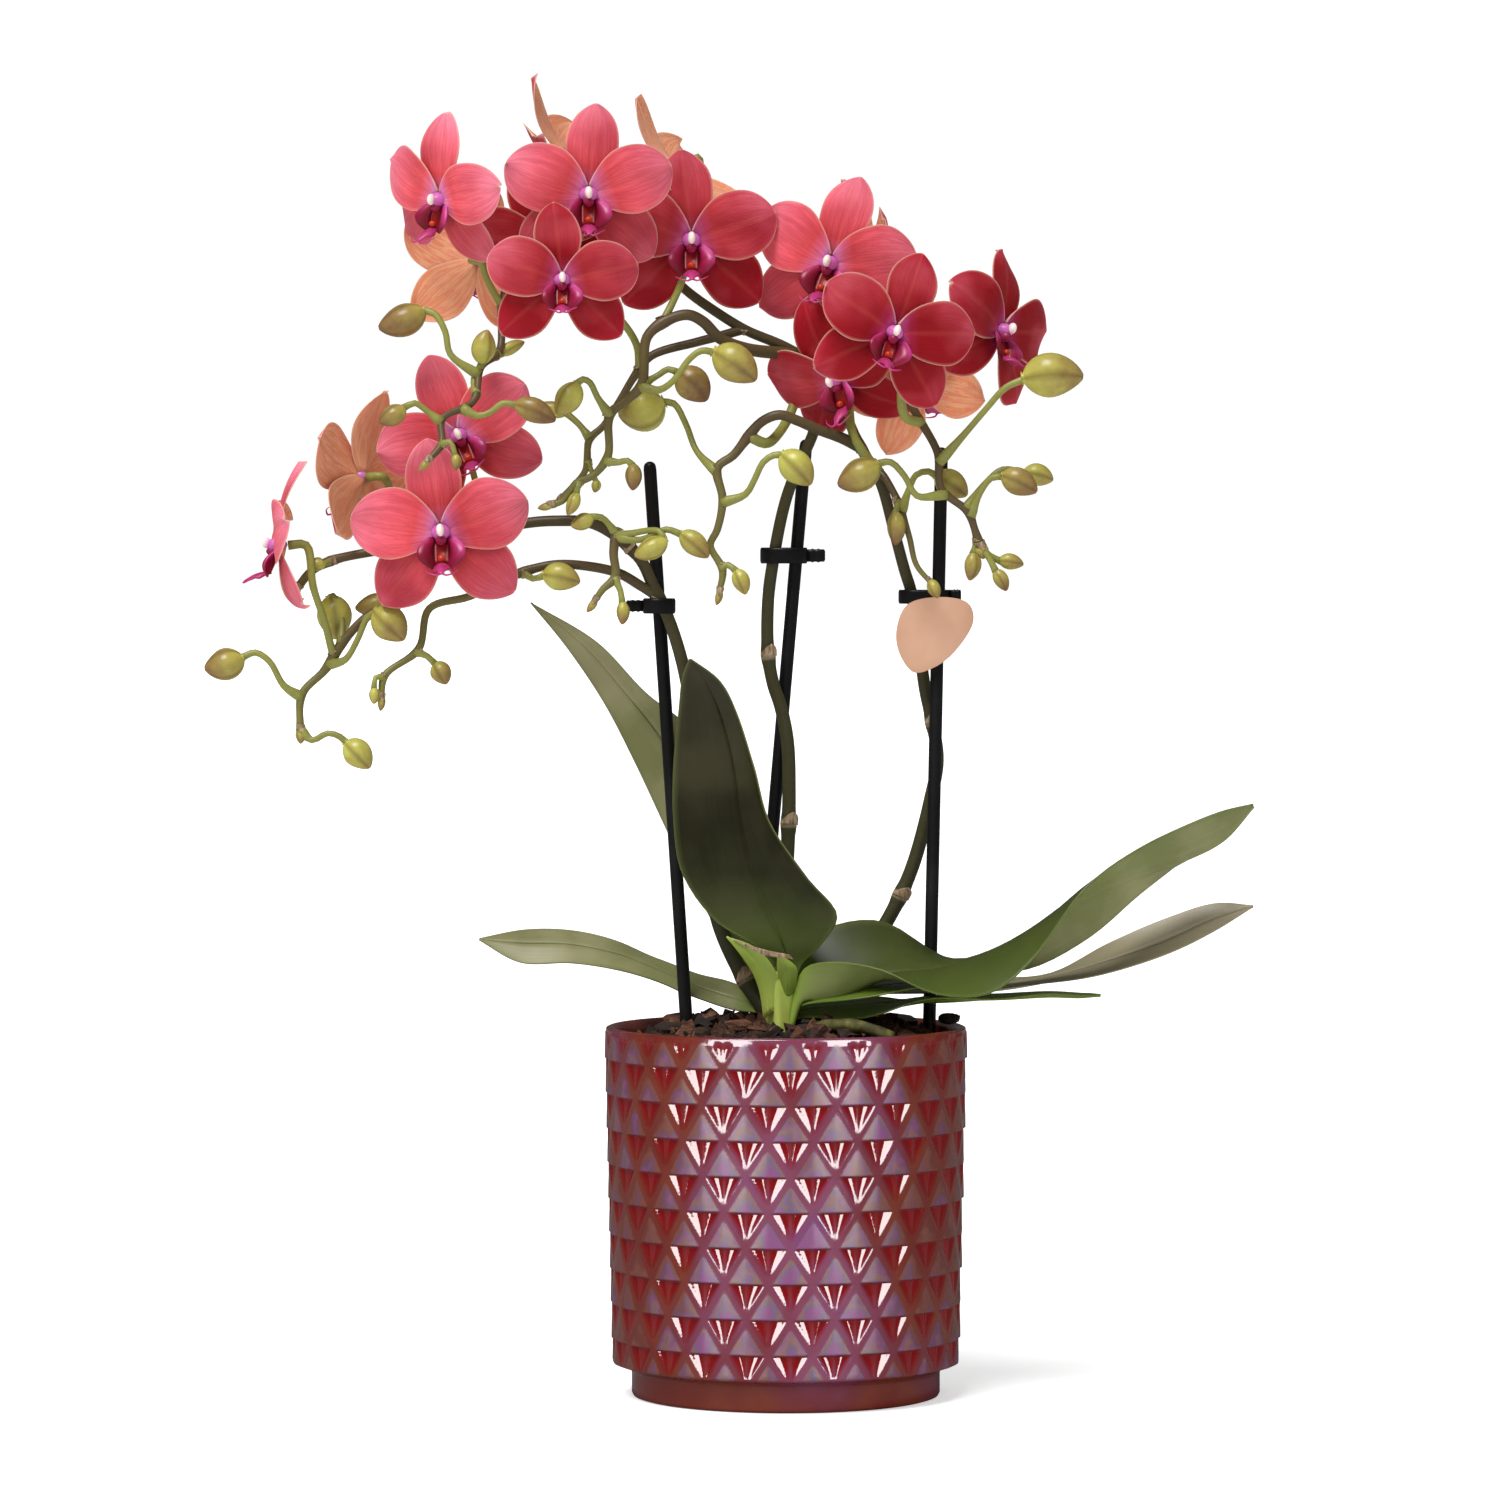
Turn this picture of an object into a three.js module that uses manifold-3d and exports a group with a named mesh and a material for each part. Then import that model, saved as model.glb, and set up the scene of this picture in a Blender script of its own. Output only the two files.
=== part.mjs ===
// A potted moth orchid: three flower stems held by stakes, in a diamond-cut glazed pot.
// Millimetres, +Z up, +X to the viewer's right, the viewer at -Y. The origin is the middle of
// the pot's flat foot, on the surface that it stands on.
import * as THREE from 'three';
import { mergeVertices } from 'three/addons/utils/BufferGeometryUtils.js';
import Module from 'manifold-3d';

const wasm = await Module();
wasm.setup();

// Driving dimensions
const GAP = 0.35;               // clearance that every touching pair keeps
const COARSENESS = 0.05;        // how far a facet may lie from its exact shape
const POT = {
  rimRadius: 52.3, baseRadius: 49.8, rimHeight: 105.5, wall: 3.8, floor: 6,
  footRadius: 44, footHeight: 8.3, cells: 25, rows: 9, rowPitch: 9.98, topRow: 96.7,
  relief: 2.2, inset: 0.3, turn: 1.2, underRim: 103, lipDrop: 1.2, lipWidth: 1.8, footChamfer: 0.6,
  bodyUndercut: 2.4, innerTaper: 1.5,
};
const NURSERY = {
  rimRadius: 47.2, baseRadius: 41, rimHeight: 98, base: 6.35, wall: 0.9, floor: 1.2, rimBand: 4,
  rimStep: 1.2, sides: 28,
};
const BARK = { middleHeight: 104, edgeHeight: 99.5, lump: 1.6, sides: 20 };
const CROWN = {
  x: -1, y: -4, across: 4.4, deep: 9.4, sides: 10,
  rings: [[96, 0.8], [104, 1], [113, 0.98], [122.2, 1.4]],   // each a height and a share of the size
};
const HIDDEN_ROOT = { thick: 2.4, thin: 1.5 };
const STAKE = { radius: 1.85, pointRadius: 0.5, pointShare: 0.03, sides: 8 };
const TAG = {
  thickness: 0.6, front: 2.4, sides: 18,
  outline: [[31.5, 218], [34.5, 225.5], [43.5, 227.8], [52, 226], [53.5, 221], [48, 212], [42, 207.5],
    [36.5, 206.3], [32.5, 211.5]],
};
const LEAF = { thickness: 1.3, youngThickness: 1, dryThickness: 0.6, edge: 0.3, steps: 10 };
const BUD_STALK_RADIUS = 0.9;

// A flower: its solid middle, its column, its lip and its five tepals
const TEPAL = { thickness: 0.8, lift: 0.8 };
const HEART = { behind: 1.8, front: 3, radii: [1.6, 3] };
const COLUMN = { from: [1, 0], to: [7.5, 1.5], radii: [1.7, 1.5] };
const LIP = { from: [1, -1], forward: 7, drop: 0.3, radii: [2, 2.6] };
const STALK_CURVE = 6;          // how far behind the flower its stalk turns to meet it
// from the middle outwards: pairs of place and share of the full width
const SEPAL = { forward: 0, stations: [[0.06, 0.26], [0.6, 1]] };
const PETAL = { forward: 1.6, stations: [[0.06, 0.26], [0.55, 1], [0.86, 0.7]] };
// each tepal's kind, direction in degrees, and its length and width as shares of half the span
const TEPALS = [
  [SEPAL, 90, 1.08, 0.62], [SEPAL, -42, 1.04, 0.64], [SEPAL, -138, 1.04, 0.64],
  [PETAL, 18, 1.02, 0.82], [PETAL, 162, 1.02, 0.82],
];

// Stakes, each from its top down to its point in the bark
const STAKES = {
  "left_stake": { "top": [-39, 10.5, 266.5], "point": [-23.5, 10.5, 30] },
  "middle_stake": { "top": [6, 20, 273], "point": [-15, 20, 30] },
  "right_stake": { "top": [44.5, 6.5, 270.5], "point": [40.3, 6.5, 66] },
};

// Routes of the flower stems and their side branches, with the radius at each end
const STEMS = {
  "left_flower_stem": {"thick": 2.3, "thin": 1.2, "route": [
    [-4.5, 3, 107.5], [-11, 7, 117], [-18.5, 8.5, 132.5], [-23, 8, 152.5], [-25.5, 7, 175.5],
    [-27.5, 6.5, 198.5], [-30.5, 6, 212.5], [-34.5, 6, 224], [-37.5, 5.5, 230], [-41.5, 4, 238.5],
    [-49, 3, 245.5], [-56, 3, 249], [-64.5, 4, 249.5], [-73, 5, 249], [-87.5, 6, 246],
    [-102, 6, 242.5], [-119, 5, 240.5], [-130, 4, 238], [-135.5, 3, 235], [-139.5, 2, 230]]},
  "middle_flower_stem": {"thick": 2.2, "thin": 0.9, "route": [
    [-1.5, 5, 109], [-1, 9, 124], [-0.5, 12, 141], [0.5, 14, 153.5], [1, 15.5, 172],
    [0.5, 15.5, 186.5], [-1.5, 15.5, 196.5], [-3.5, 15.5, 202.5], [-5, 15.5, 211], [-5, 15.5, 227],
    [-3.5, 15.5, 238.5], [-1, 15.5, 251.5], [1, 15.5, 258.5], [4, 15.5, 266], [8, 15, 275],
    [10, 14, 285], [7, 12, 293], [1, 10, 298.5], [-11.5, 8, 304], [-20.5, 7, 309.5], [-27.5, 7, 314.5],
    [-36, 8, 322], [-46, 9, 328.5], [-59, 10, 331.5], [-70.5, 10, 328.5], [-78.5, 9, 320],
    [-81, 6, 310], [-81.5, 1, 298], [-86.5, -6, 293], [-88.5, -14, 283], [-97, -19, 278],
    [-97, -22, 271], [-101, -24, 266]]},
  "right_flower_stem": {"thick": 2.2, "thin": 1.0, "route": [
    [2.5, 4, 109], [14, 10, 116.5], [23, 13, 125], [28.5, 14, 133.5], [33, 14, 142], [37, 13.5, 152],
    [41.5, 12, 169.5], [43.5, 11, 181], [42, 11, 192], [40, 11, 201], [38, 11, 215.5], [36, 11, 229],
    [34, 10, 235.5], [31, 8, 246.5], [27, 6, 260.5], [22.5, 5, 268.5], [19, 6, 275.5], [16, 9, 285.5],
    [16.5, 10, 297], [20, 10, 306.5], [26.5, 8, 310], [32, 6, 304.5], [34, 1, 294], [35, -4, 283.5],
    [38, -6, 278], [43, -8, 268.5], [44, -9, 258.5], [51.5, -9, 252], [53.5, -8, 247], [55, -7, 242]]},
};

// Side branches
const BRANCHES = {
  "left_branch_low": {"of": "left_flower_stem", "thick": 1.5, "thin": 0.9, "route": [
    [-37.5, 6, 227], [-41.5, 4, 231], [-47.5, 2, 234.5], [-56, 1, 236.5], [-66, 0, 237],
    [-76, 0, 234.5], [-90, 0, 228], [-101.5, -1, 224.5], [-104.5, -3, 213], [-114, -5, 205.5],
    [-115, -6, 199]]},
  "left_branch_hanging": {"of": "left_flower_stem", "thick": 1.6, "thin": 1.0, "route": [
    [-94.5, 6, 244], [-102, 8, 234], [-110.5, 7, 226], [-119, 5, 222.5], [-126, 4, 215.5],
    [-131.5, 3, 207], [-138, 2, 200], [-138.5, 1, 189.5]]},
  "left_side_twig": {"of": "left_flower_stem", "thick": 1.6, "thin": 0.9, "route": [
    [-44.5, 3, 242], [-48, -2, 245.5], [-49, -4, 240.5], [-48.5, -5, 233.5], [-52, -6, 230],
    [-54.5, -6, 226.5]]},
  "middle_branch_front": {"of": "middle_flower_stem", "thick": 1.9, "thin": 0.9, "route": [
    [3, 10, 297], [-11.5, 2, 298.5], [-19, 0, 301.5], [-23.5, -1, 306], [-28, -2, 308],
    [-34.5, -3, 306], [-39.5, -4, 301.5], [-41, -5, 288], [-45.5, -5, 283.5], [-50, -6, 279.5],
    [-50.5, -7, 268], [-54.5, -7, 262.5], [-59.5, -8, 260], [-63.5, -8, 255], [-67, -8, 254]]},
  "middle_branch_back": {"of": "middle_flower_stem", "thick": 1.4, "thin": 0.8, "route": [
    [-13.5, 3, 300], [-19.5, 6, 302], [-25.5, 7, 300.5], [-38.5, 6, 296.5], [-43, 5, 291],
    [-47.5, 4, 283.5], [-52, 2, 276.5], [-56, 1, 272.5], [-57, 0, 264], [-61, 0, 259],
    [-64.5, -1, 255.5]]},
  "right_branch_inner": {"of": "right_flower_stem", "thick": 1.7, "thin": 0.9, "route": [
    [23, 5, 271], [16, 1, 273], [9, -2, 275.5], [3, -4, 278], [-2, -5, 279.5], [-7, -5, 277.5],
    [-11, -5, 273], [-15, -5, 268], [-19.5, -5, 264.5], [-18, -6, 255.5], [-19.5, -6, 247],
    [-21.5, -6, 242.5], [-18, -7, 235.5], [-19, -7, 229]]},
  "right_branch_small": {"of": "right_flower_stem", "thick": 1.1, "thin": 0.7, "route": [
    [25, 5, 265], [28, 1, 262], [32, -2, 254.5], [35, -4, 245], [37, -5, 237], [41, -6, 232]]},
};

// Buds, each with the stalk that carries it from its stem or branch
const BUDS = [
  {"on": "middle_flower_stem", "radius": 4.6, "base": [-103, -8, 309], "tip": [-115.5, -9, 304],
   "stalk": [[-90.5, -8, 291], [-95, -10, 296.5], [-96.5, -10, 303], [-99.5, -9, 308]]},
  {"on": "middle_flower_stem", "radius": 3.5, "base": [-86, -7, 294.5], "tip": [-84.5, -9, 303.5],
   "stalk": [[-88.5, -12, 285], [-88.5, -8, 289.5]]},
  {"on": "middle_flower_stem", "radius": 1.9, "base": [-81, 3, 297], "tip": [-74.5, 5, 300.5],
   "stalk": [[-82.5, 0, 296]]},
  {"on": "middle_flower_stem", "radius": 3.0, "base": [-108, -21, 281], "tip": [-114.5, -23, 277],
   "stalk": [[-97.5, -19, 277], [-101.5, -20, 280.5], [-104.5, -21, 282.5]]},
  {"on": "middle_flower_stem", "radius": 3.5, "base": [-76, -17, 282], "tip": [-65, -18, 277.5],
   "stalk": [[-91, -16, 280], [-87, -17, 279], [-83.5, -17, 280], [-80, -17, 282.5]]},
  {"on": "middle_flower_stem", "radius": 1.5, "base": [-93, -24, 267.5], "tip": [-93, -25, 263.5],
   "stalk": [[-97, -22, 270.5], [-94.5, -24, 271.5]]},
  {"on": "middle_branch_front", "radius": 5.4, "base": [-20, -10, 297], "tip": [-8.5, -12, 289],
   "stalk": [[-40, -5, 286.5], [-36, -8, 286.5], [-32, -10, 289], [-27.5, -11, 295],
   [-24, -11, 297.5]]},
  {"on": "middle_branch_front", "radius": 4.9, "base": [-30.5, -3, 291.5], "tip": [-22.5, -2, 283.5],
   "stalk": [[-38, -4, 286.5], [-36, -3, 291], [-33.5, -3, 292.5]]},
  {"on": "middle_branch_front", "radius": 3.8, "base": [-59.5, -9, 288], "tip": [-65, -11, 279.5],
   "stalk": [[-50.5, -6, 279.5], [-53.5, -8, 284.5], [-55.5, -9, 288.5], [-57.5, -9, 289.5]]},
  {"on": "middle_branch_front", "radius": 2.4, "base": [-43.5, -9, 265], "tip": [-43.5, -10, 258],
   "stalk": [[-50.5, -7, 266], [-47.5, -8, 266], [-45, -9, 266.5]]},
  {"on": "middle_branch_front", "radius": 1.9, "base": [-59.5, -9, 257], "tip": [-62, -10, 251],
   "stalk": [[-58.5, -8, 260]]},
  {"on": "middle_branch_back", "radius": 2.3, "base": [-63, 5, 280.5], "tip": [-70, 5, 283],
   "stalk": [[-56, 1, 273], [-59, 3, 277]]},
  {"on": "middle_branch_back", "radius": 1.4, "base": [-54, -1, 260.5], "tip": [-54.5, -1, 257.5],
   "stalk": [[-56.5, 0, 266.5]]},
  {"on": "right_branch_inner", "radius": 6.4, "base": [-35.5, 9, 283.5], "tip": [-48, 10, 280],
   "stalk": [[-21, -4, 263], [-25.5, 1, 269.5], [-28.5, 5, 277], [-32, 8, 283]]},
  {"on": "right_branch_inner", "radius": 4.6, "base": [-1, -11, 268], "tip": [7, -12, 259.5],
   "stalk": [[-15.5, -6, 254.5], [-11.5, -8, 257], [-9, -10, 261], [-6.5, -11, 266],
   [-3.5, -11, 268]]},
  {"on": "right_branch_inner", "radius": 2.5, "base": [-14, -9, 235], "tip": [-11.5, -10, 228.5],
   "stalk": [[-18.5, -7, 236], [-16.5, -8, 237]]},
  {"on": "left_side_twig", "radius": 3.3, "base": [-29.5, -9, 245.5], "tip": [-22, -10, 239],
   "stalk": [[-44.5, -5, 245], [-42, -6, 244], [-38.5, -8, 245], [-34, -9, 247]]},
  {"on": "left_side_twig", "radius": 3.2, "base": [-34.5, -11, 244], "tip": [-43, -12, 239.5],
   "stalk": [[-38.5, -8, 245], [-36, -10, 246.5]]},
  {"on": "left_side_twig", "radius": 2.4, "base": [-55.5, -6, 250.5], "tip": [-61, -8, 248],
   "stalk": [[-48.5, -2, 246], [-52.5, -5, 250.5]]},
  {"on": "left_side_twig", "radius": 1.9, "base": [-46.5, -7, 226], "tip": [-46.5, -8, 220],
   "stalk": [[-48.5, -5, 233], [-47, -6, 229.5]]},
  {"on": "left_branch_low", "radius": 4.0, "base": [-68.5, -3, 234], "tip": [-58.5, -5, 232],
   "stalk": [[-74.5, 0, 234.5], [-72, -2, 233]]},
  {"on": "left_branch_low", "radius": 3.0, "base": [-99.5, -4, 208.5], "tip": [-96.5, -5, 203],
   "stalk": [[-105, -3, 212], [-102, -4, 211]]},
  {"on": "left_branch_low", "radius": 1.6, "base": [-117, -7, 201.5], "tip": [-117, -8, 197.5],
   "stalk": [[-114.5, -5, 205], [-116.5, -7, 205]]},
  {"on": "left_branch_hanging", "radius": 4.6, "base": [-155, -2, 210.5], "tip": [-165.5, -3, 207.5],
   "stalk": [[-139, 2, 199.5], [-143, 0, 202.5], [-147, -2, 209.5], [-151, -2, 212]]},
  {"on": "left_branch_hanging", "radius": 5.0, "base": [-116.5, -4, 223.5], "tip": [-108.5, -6, 215.5],
   "stalk": [[-129.5, 3, 208], [-125.5, 0, 210], [-122, -2, 215.5], [-119, -3, 222]]},
  {"on": "left_branch_hanging", "radius": 5.0, "base": [-130.5, 10, 227.5], "tip": [-129, 11, 215.5],
   "stalk": [[-127, 4, 214.5], [-127, 7, 222], [-129.5, 9, 228]]},
  {"on": "left_branch_hanging", "radius": 3.3, "base": [-114, 12, 227], "tip": [-123.5, 13, 224.5],
   "stalk": [[-110, 7, 226.5], [-111.5, 10, 228]]},
  {"on": "left_branch_hanging", "radius": 4.0, "base": [-125, -1, 186], "tip": [-118.5, -2, 179],
   "stalk": [[-138.5, 1, 190], [-135, 0, 187], [-130.5, -1, 189], [-127, -1, 188]]},
  {"on": "left_flower_stem", "radius": 2.0, "base": [-132, 0, 237], "tip": [-135.5, -1, 238],
   "stalk": [[-130, 4, 238]]},
  {"on": "right_flower_stem", "radius": 6.3, "base": [67.5, -13, 289.5], "tip": [84, -15, 290],
   "stalk": [[45, -8, 266], [50.5, -11, 274], [56.5, -12, 281], [62, -13, 287]]},
  {"on": "right_flower_stem", "radius": 3.9, "base": [61.5, -11, 262], "tip": [71, -12, 257.5],
   "stalk": [[53.5, -9, 251.5], [55, -10, 257.5], [58, -11, 261.5]]},
  {"on": "right_flower_stem", "radius": 3.2, "base": [68, -3, 263], "tip": [76, -2, 261],
   "stalk": [[51.5, -7, 253.5], [56.5, -5, 260], [61.5, -4, 264]]},
  {"on": "right_flower_stem", "radius": 2.4, "base": [53, -7, 240], "tip": [52, -7, 232.5],
   "stalk": [[54, -8, 244]]},
  {"on": "right_flower_stem", "radius": 2.1, "base": [59.5, -8, 235], "tip": [62.5, -8, 229.5],
   "stalk": [[55, -7, 242], [57.5, -8, 239]]},
  {"on": "right_flower_stem", "radius": 2.3, "base": [61, -5, 238], "tip": [67.5, -5, 237],
   "stalk": [[55.5, -7, 242], [58, -6, 239.5]]},
  {"on": "right_flower_stem", "radius": 4.7, "base": [25.5, -12, 265.5], "tip": [14.5, -13, 259.5],
   "stalk": [[44, -9, 255.5], [37, -12, 256.5], [33.5, -13, 262], [29.5, -13, 266]]},
  {"on": "right_branch_small", "radius": 2.7, "base": [31, -5, 251.5], "tip": [31, -6, 242.5],
   "stalk": [[32, -2, 254.5]]},
  {"on": "right_branch_small", "radius": 1.9, "base": [41, -6, 232], "tip": [43, -8, 227.5],
   "stalk": []},
  {"on": "right_branch_small", "radius": 4.0, "base": [43, -1.5, 262], "tip": [51.5, -2.5, 256.5],
   "stalk": [[34, -2, 252.5], [35, -3, 258.5], [37, -3, 262.5], [40.5, -2, 263.5]]},
];

// Flowers: the middle of each, the way it faces in degrees, and its own stalk
const FLOWERS = [
  {"at": [-97, -4, 341], "turn": -43, "nod": -14, "roll": -10, "span": 45,
   "on": "middle_flower_stem", "thick": 1.1,
   "stalk": [[-81, 6, 310.5], [-85.5, 5, 319], [-88, 2, 328], [-92.5, -1, 334.5]]},
  {"at": [-56, -10, 341.5], "turn": 3, "nod": -3, "roll": 0, "span": 49,
   "on": "middle_flower_stem", "thick": 1.1,
   "stalk": [[-52.5, 9, 330], [-52, 4, 335.5], [-54.5, -6, 340]]},
  {"at": [-63, -26, 316.5], "turn": 3, "nod": 4, "roll": 0, "span": 43,
   "on": "middle_branch_back", "thick": 1.2,
   "stalk": [[-41.5, 6, 292.5], [-42.5, 2, 299.5], [-48.5, -6, 308], [-57, -16, 313],
   [-61.5, -22, 315.5]]},
  {"at": [-27, 2, 329], "turn": 2, "nod": 0, "roll": 0, "span": 50,
   "on": "middle_branch_front", "thick": 1.2,
   "stalk": [[-35.5, -3, 306], [-32.5, -1, 311], [-29.5, 0.5, 318], [-27.5, 3.5, 324], [-27, 4, 327]]},
  {"at": [-62, 18, 354.5], "turn": -110, "nod": -32, "roll": -15, "span": 46,
   "on": "middle_flower_stem", "thick": 1.1,
   "stalk": [[-55.5, 10, 331], [-53.5, 18, 340.5], [-55, 20, 350], [-58, 19, 354]]},
  {"at": [-29.5, 20, 350], "turn": -110, "nod": -40, "roll": -15, "span": 46,
   "on": "middle_flower_stem", "thick": 1.1,
   "stalk": [[-33.5, 8, 320], [-26, 18, 332], [-24.5, 22, 343.5], [-27, 21, 349.5]]},
  {"at": [-68.5, 4, 329.5], "turn": -10, "nod": 0, "roll": 20, "span": 44,
   "on": "middle_flower_stem", "thick": 1.1,
   "stalk": [[-76, 9, 323], [-73, 12, 326.5], [-69.5, 9, 329.5]]},
  {"at": [-88.5, 18, 324], "turn": 165, "nod": 0, "roll": 7, "span": 46,
   "on": "middle_flower_stem", "thick": 1.1,
   "stalk": [[-78.5, 9, 319], [-82.5, 8, 322], [-86.5, 12, 323.5]]},
  {"at": [-93, 2, 273.5], "turn": 0, "nod": 0, "roll": 23, "span": 47,
   "on": "left_flower_stem", "thick": 1.1,
   "stalk": [[-89, 6, 246], [-88, 10, 255.5], [-90.5, 10, 267], [-92.5, 6, 272.5]]},
  {"at": [-97.5, -14, 246], "turn": 0, "nod": 0, "roll": 3, "span": 51,
   "on": "left_flower_stem", "thick": 1.2,
   "stalk": [[-94.5, 6, 244.5], [-96, 0, 242], [-97, -8, 244]]},
  {"at": [-120, 6, 262], "turn": -126, "nod": 0, "roll": 4, "span": 47,
   "on": "left_flower_stem", "thick": 1.2,
   "stalk": [[-111, 6, 241.5], [-110, 12, 250], [-113, 11.5, 258], [-117, 9, 261.5]]},
  {"at": [-142.5, -2, 242.5], "turn": -84, "nod": 0, "roll": 0, "span": 45,
   "on": "left_branch_hanging", "thick": 1.2,
   "stalk": [[-129.5, 3, 211], [-131.5, 0, 221], [-134.5, -3, 231], [-138, -4, 238.5],
   [-141.5, -3, 241.5]]},
  {"at": [13, 2, 322.5], "turn": -16, "nod": 0, "roll": -13, "span": 49,
   "on": "right_branch_inner", "thick": 1.6,
   "stalk": [[-10.5, -5, 273.5], [-6, -4, 271.5], [-2, 3, 274.5], [2, 11, 282], [5, 15, 293], [8.5, 14, 306],
   [12, 11, 316]]},
  {"at": [30, -24, 302], "turn": 8, "nod": 0, "roll": -20, "span": 46,
   "on": "right_flower_stem", "thick": 1.5,
   "stalk": [[36.5, -6, 276], [33.5, -12, 279], [32.5, -15, 285], [33.5, -17, 292], [32, -19, 298]]},
  {"at": [60, 4, 303.5], "turn": 50, "nod": 0, "roll": -20, "span": 47,
   "on": "right_flower_stem", "thick": 1.1,
   "stalk": [[33.5, 4, 300], [41, 8, 295], [50.5, 10, 298], [56.5, 7, 302]]},
  {"at": [15, 2, 290.5], "turn": -30, "nod": -25, "roll": 15, "span": 45,
   "on": "right_branch_small", "thick": 1.5,
   "stalk": [[27, 2, 264], [22, 1, 269], [19, 2, 274.5], [18, 6, 282.5], [16.5, 5, 287.5]]},
  {"at": [37, 14, 289], "turn": 165, "nod": 0, "roll": -27, "span": 42,
   "on": "right_flower_stem", "thick": 1.1,
   "stalk": [[34, 1, 295], [37, 4, 292], [37.5, 10, 288]]},
  {"at": [22, 22, 323.5], "turn": 110, "nod": 0, "roll": -7, "span": 46,
   "on": "right_flower_stem", "thick": 1.1,
   "stalk": [[21, 10, 307.5], [18.5, 12, 313.5], [15.5, 16, 320]]},
];

// Leaves: near edge, midrib and far edge at each station from the base to the tip
const LEAVES = {
  "leaf_front_upright": [
    [[-3, -12, 123.5], [0.5, -12, 123], [4, -12, 123]],
    [[-9.5, -16, 129.5], [-1, -13, 129.5], [10, -15, 129.5]],
    [[-20, -15, 136.5], [-5, -11, 138], [14.5, -17, 138]],
    [[-29.5, -12, 150], [-9.5, -8, 150.5], [5.5, -16, 149]],
    [[-32, -9, 164], [-13, -6, 164.5], [-5, -13, 164]],
    [[-32, -6, 180], [-15, -4, 180], [-9, -9, 180]],
    [[-30.5, -4, 195.5], [-19, -2, 195.5], [-14, -5, 195]],
    [[-29.5, -2, 205], [-23, -1, 204], [-19, -3, 204]],
    [[-27.5, 0, 210.5]],
  ],
  "leaf_back_upright": [
    [[-5, 9, 112.5], [-3.5, 9, 112.5], [-1.5, 9, 113]],
    [[-16.5, 13, 126.5], [-11, 13.5, 132], [-6, 13, 139.5]],
    [[-30, 14.5, 152], [-21, 16, 160.5], [-13.5, 16, 169.5]],
    [[-43, 15, 179.5], [-35.5, 17, 186.5], [-27.5, 17, 190]],
    [[-53, 17.5, 198.5], [-47, 19, 201], [-40.5, 19, 200.5]],
    [[-62.5, 20, 212.5], [-58.5, 21, 214], [-54, 21, 214.5]],
    [[-74, 23, 226.5]],
  ],
  "leaf_low_left": [
    [[-5.5, 2, 109], [-5, 6, 110], [-5, 9, 112.5]],
    [[-16, 11, 109.5], [-16.5, 15, 112.5], [-16.5, 20, 117]],
    [[-27, 14, 113], [-27.5, 19, 116], [-26.5, 24, 119]],
    [[-34.5, 15, 116.5], [-36, 20, 119.5], [-37, 26, 123]],
    [[-47.5, 16, 120], [-47.5, 21, 124], [-48, 27, 128]],
    [[-62, 17, 122.5], [-62, 22, 127], [-62.5, 27, 131]],
    [[-76.5, 18, 122.5], [-76.5, 22, 127.5], [-75, 26, 131.5]],
    [[-89, 22, 129]],
  ],
  "leaf_big_right": [
    [[5, -13.4, 122.4], [5.8, -10, 123.4], [7.5, -6, 124.5]],
    [[13.5, -19, 125], [14.5, -10, 126.5], [13.5, -1, 134]],
    [[26, -25, 123.2], [28, -10.4, 124], [27.6, 2.6, 135]],
    [[41.6, -28, 116.3], [43.4, -10.3, 122.2], [43.2, 3.4, 126.2]],
    [[56.6, -27, 116.4], [58, -9.3, 127], [57.8, 4.2, 120.9]],
    [[68.5, -22.4, 125.2], [70.7, -6.3, 134], [70.2, 3.6, 121.6]],
    [[84.5, -17, 145.5], [83.5, -4, 142], [87, 4, 130.5]],
    [[100.5, -10, 156.5], [98.5, -2, 148.5], [101.5, 8, 143]],
    [[115, -5, 163.5], [113.5, 0, 153.5], [114.5, 9, 153]],
    [[124.5, -2, 167], [124.5, 1, 159], [124.5, 6, 160.5]],
    [[134, 1, 169]],
  ],
  "leaf_far_right": [
    [[4, -1, 113.5], [5, 2, 115], [5, 5, 116.5]],
    [[26.5, -3, 115], [27, 4, 116.5], [27, 12, 121.5]],
    [[52.5, -4, 115.5], [52.5, 6, 115.5], [53, 14, 119]],
    [[73, 1, 117.5], [73, 9, 118], [75.5, 16, 119.5]],
    [[92.5, 6, 120.5], [93, 11, 123], [93.5, 17, 128]],
    [[108.5, 8, 125], [109, 13, 128.5], [109, 18, 135]],
    [[123, 11, 132], [123, 14, 135], [123.5, 17, 139.5]],
    [[135, 15, 139]],
  ],
  "leaf_lowest_right": [
    [[2.5, -10, 108], [2.5, -6.5, 109], [2.5, -3, 110.5]],
    [[23, -18, 109], [25, -11, 111.5], [24, -4, 114]],
    [[41, -20, 114.5], [41, -9, 114], [41, -2, 112.5]],
    [[60.5, -17, 114.5], [61, -7, 114.5], [61, -1, 113]],
    [[75, -10, 115], [75, -4, 115], [75.5, 2, 114.5]],
    [[85, -6, 114.5], [84, -1.5, 114.5], [84, 3, 114.5]],
    [[90, -2, 114.5]],
  ],
  "leaf_short_right": [
    [[2, -12, 111], [2, -9, 112.5], [2, -5, 114]],
    [[16.5, -21, 114], [18, -14, 116], [18, -6, 118]],
    [[32, -22, 117], [32, -12, 117.5], [32.5, -4, 118.5]],
    [[43.5, -16, 117.5], [43.5, -8, 118], [44, -2, 119]],
    [[56.5, -6, 119]],
  ],
};

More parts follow.
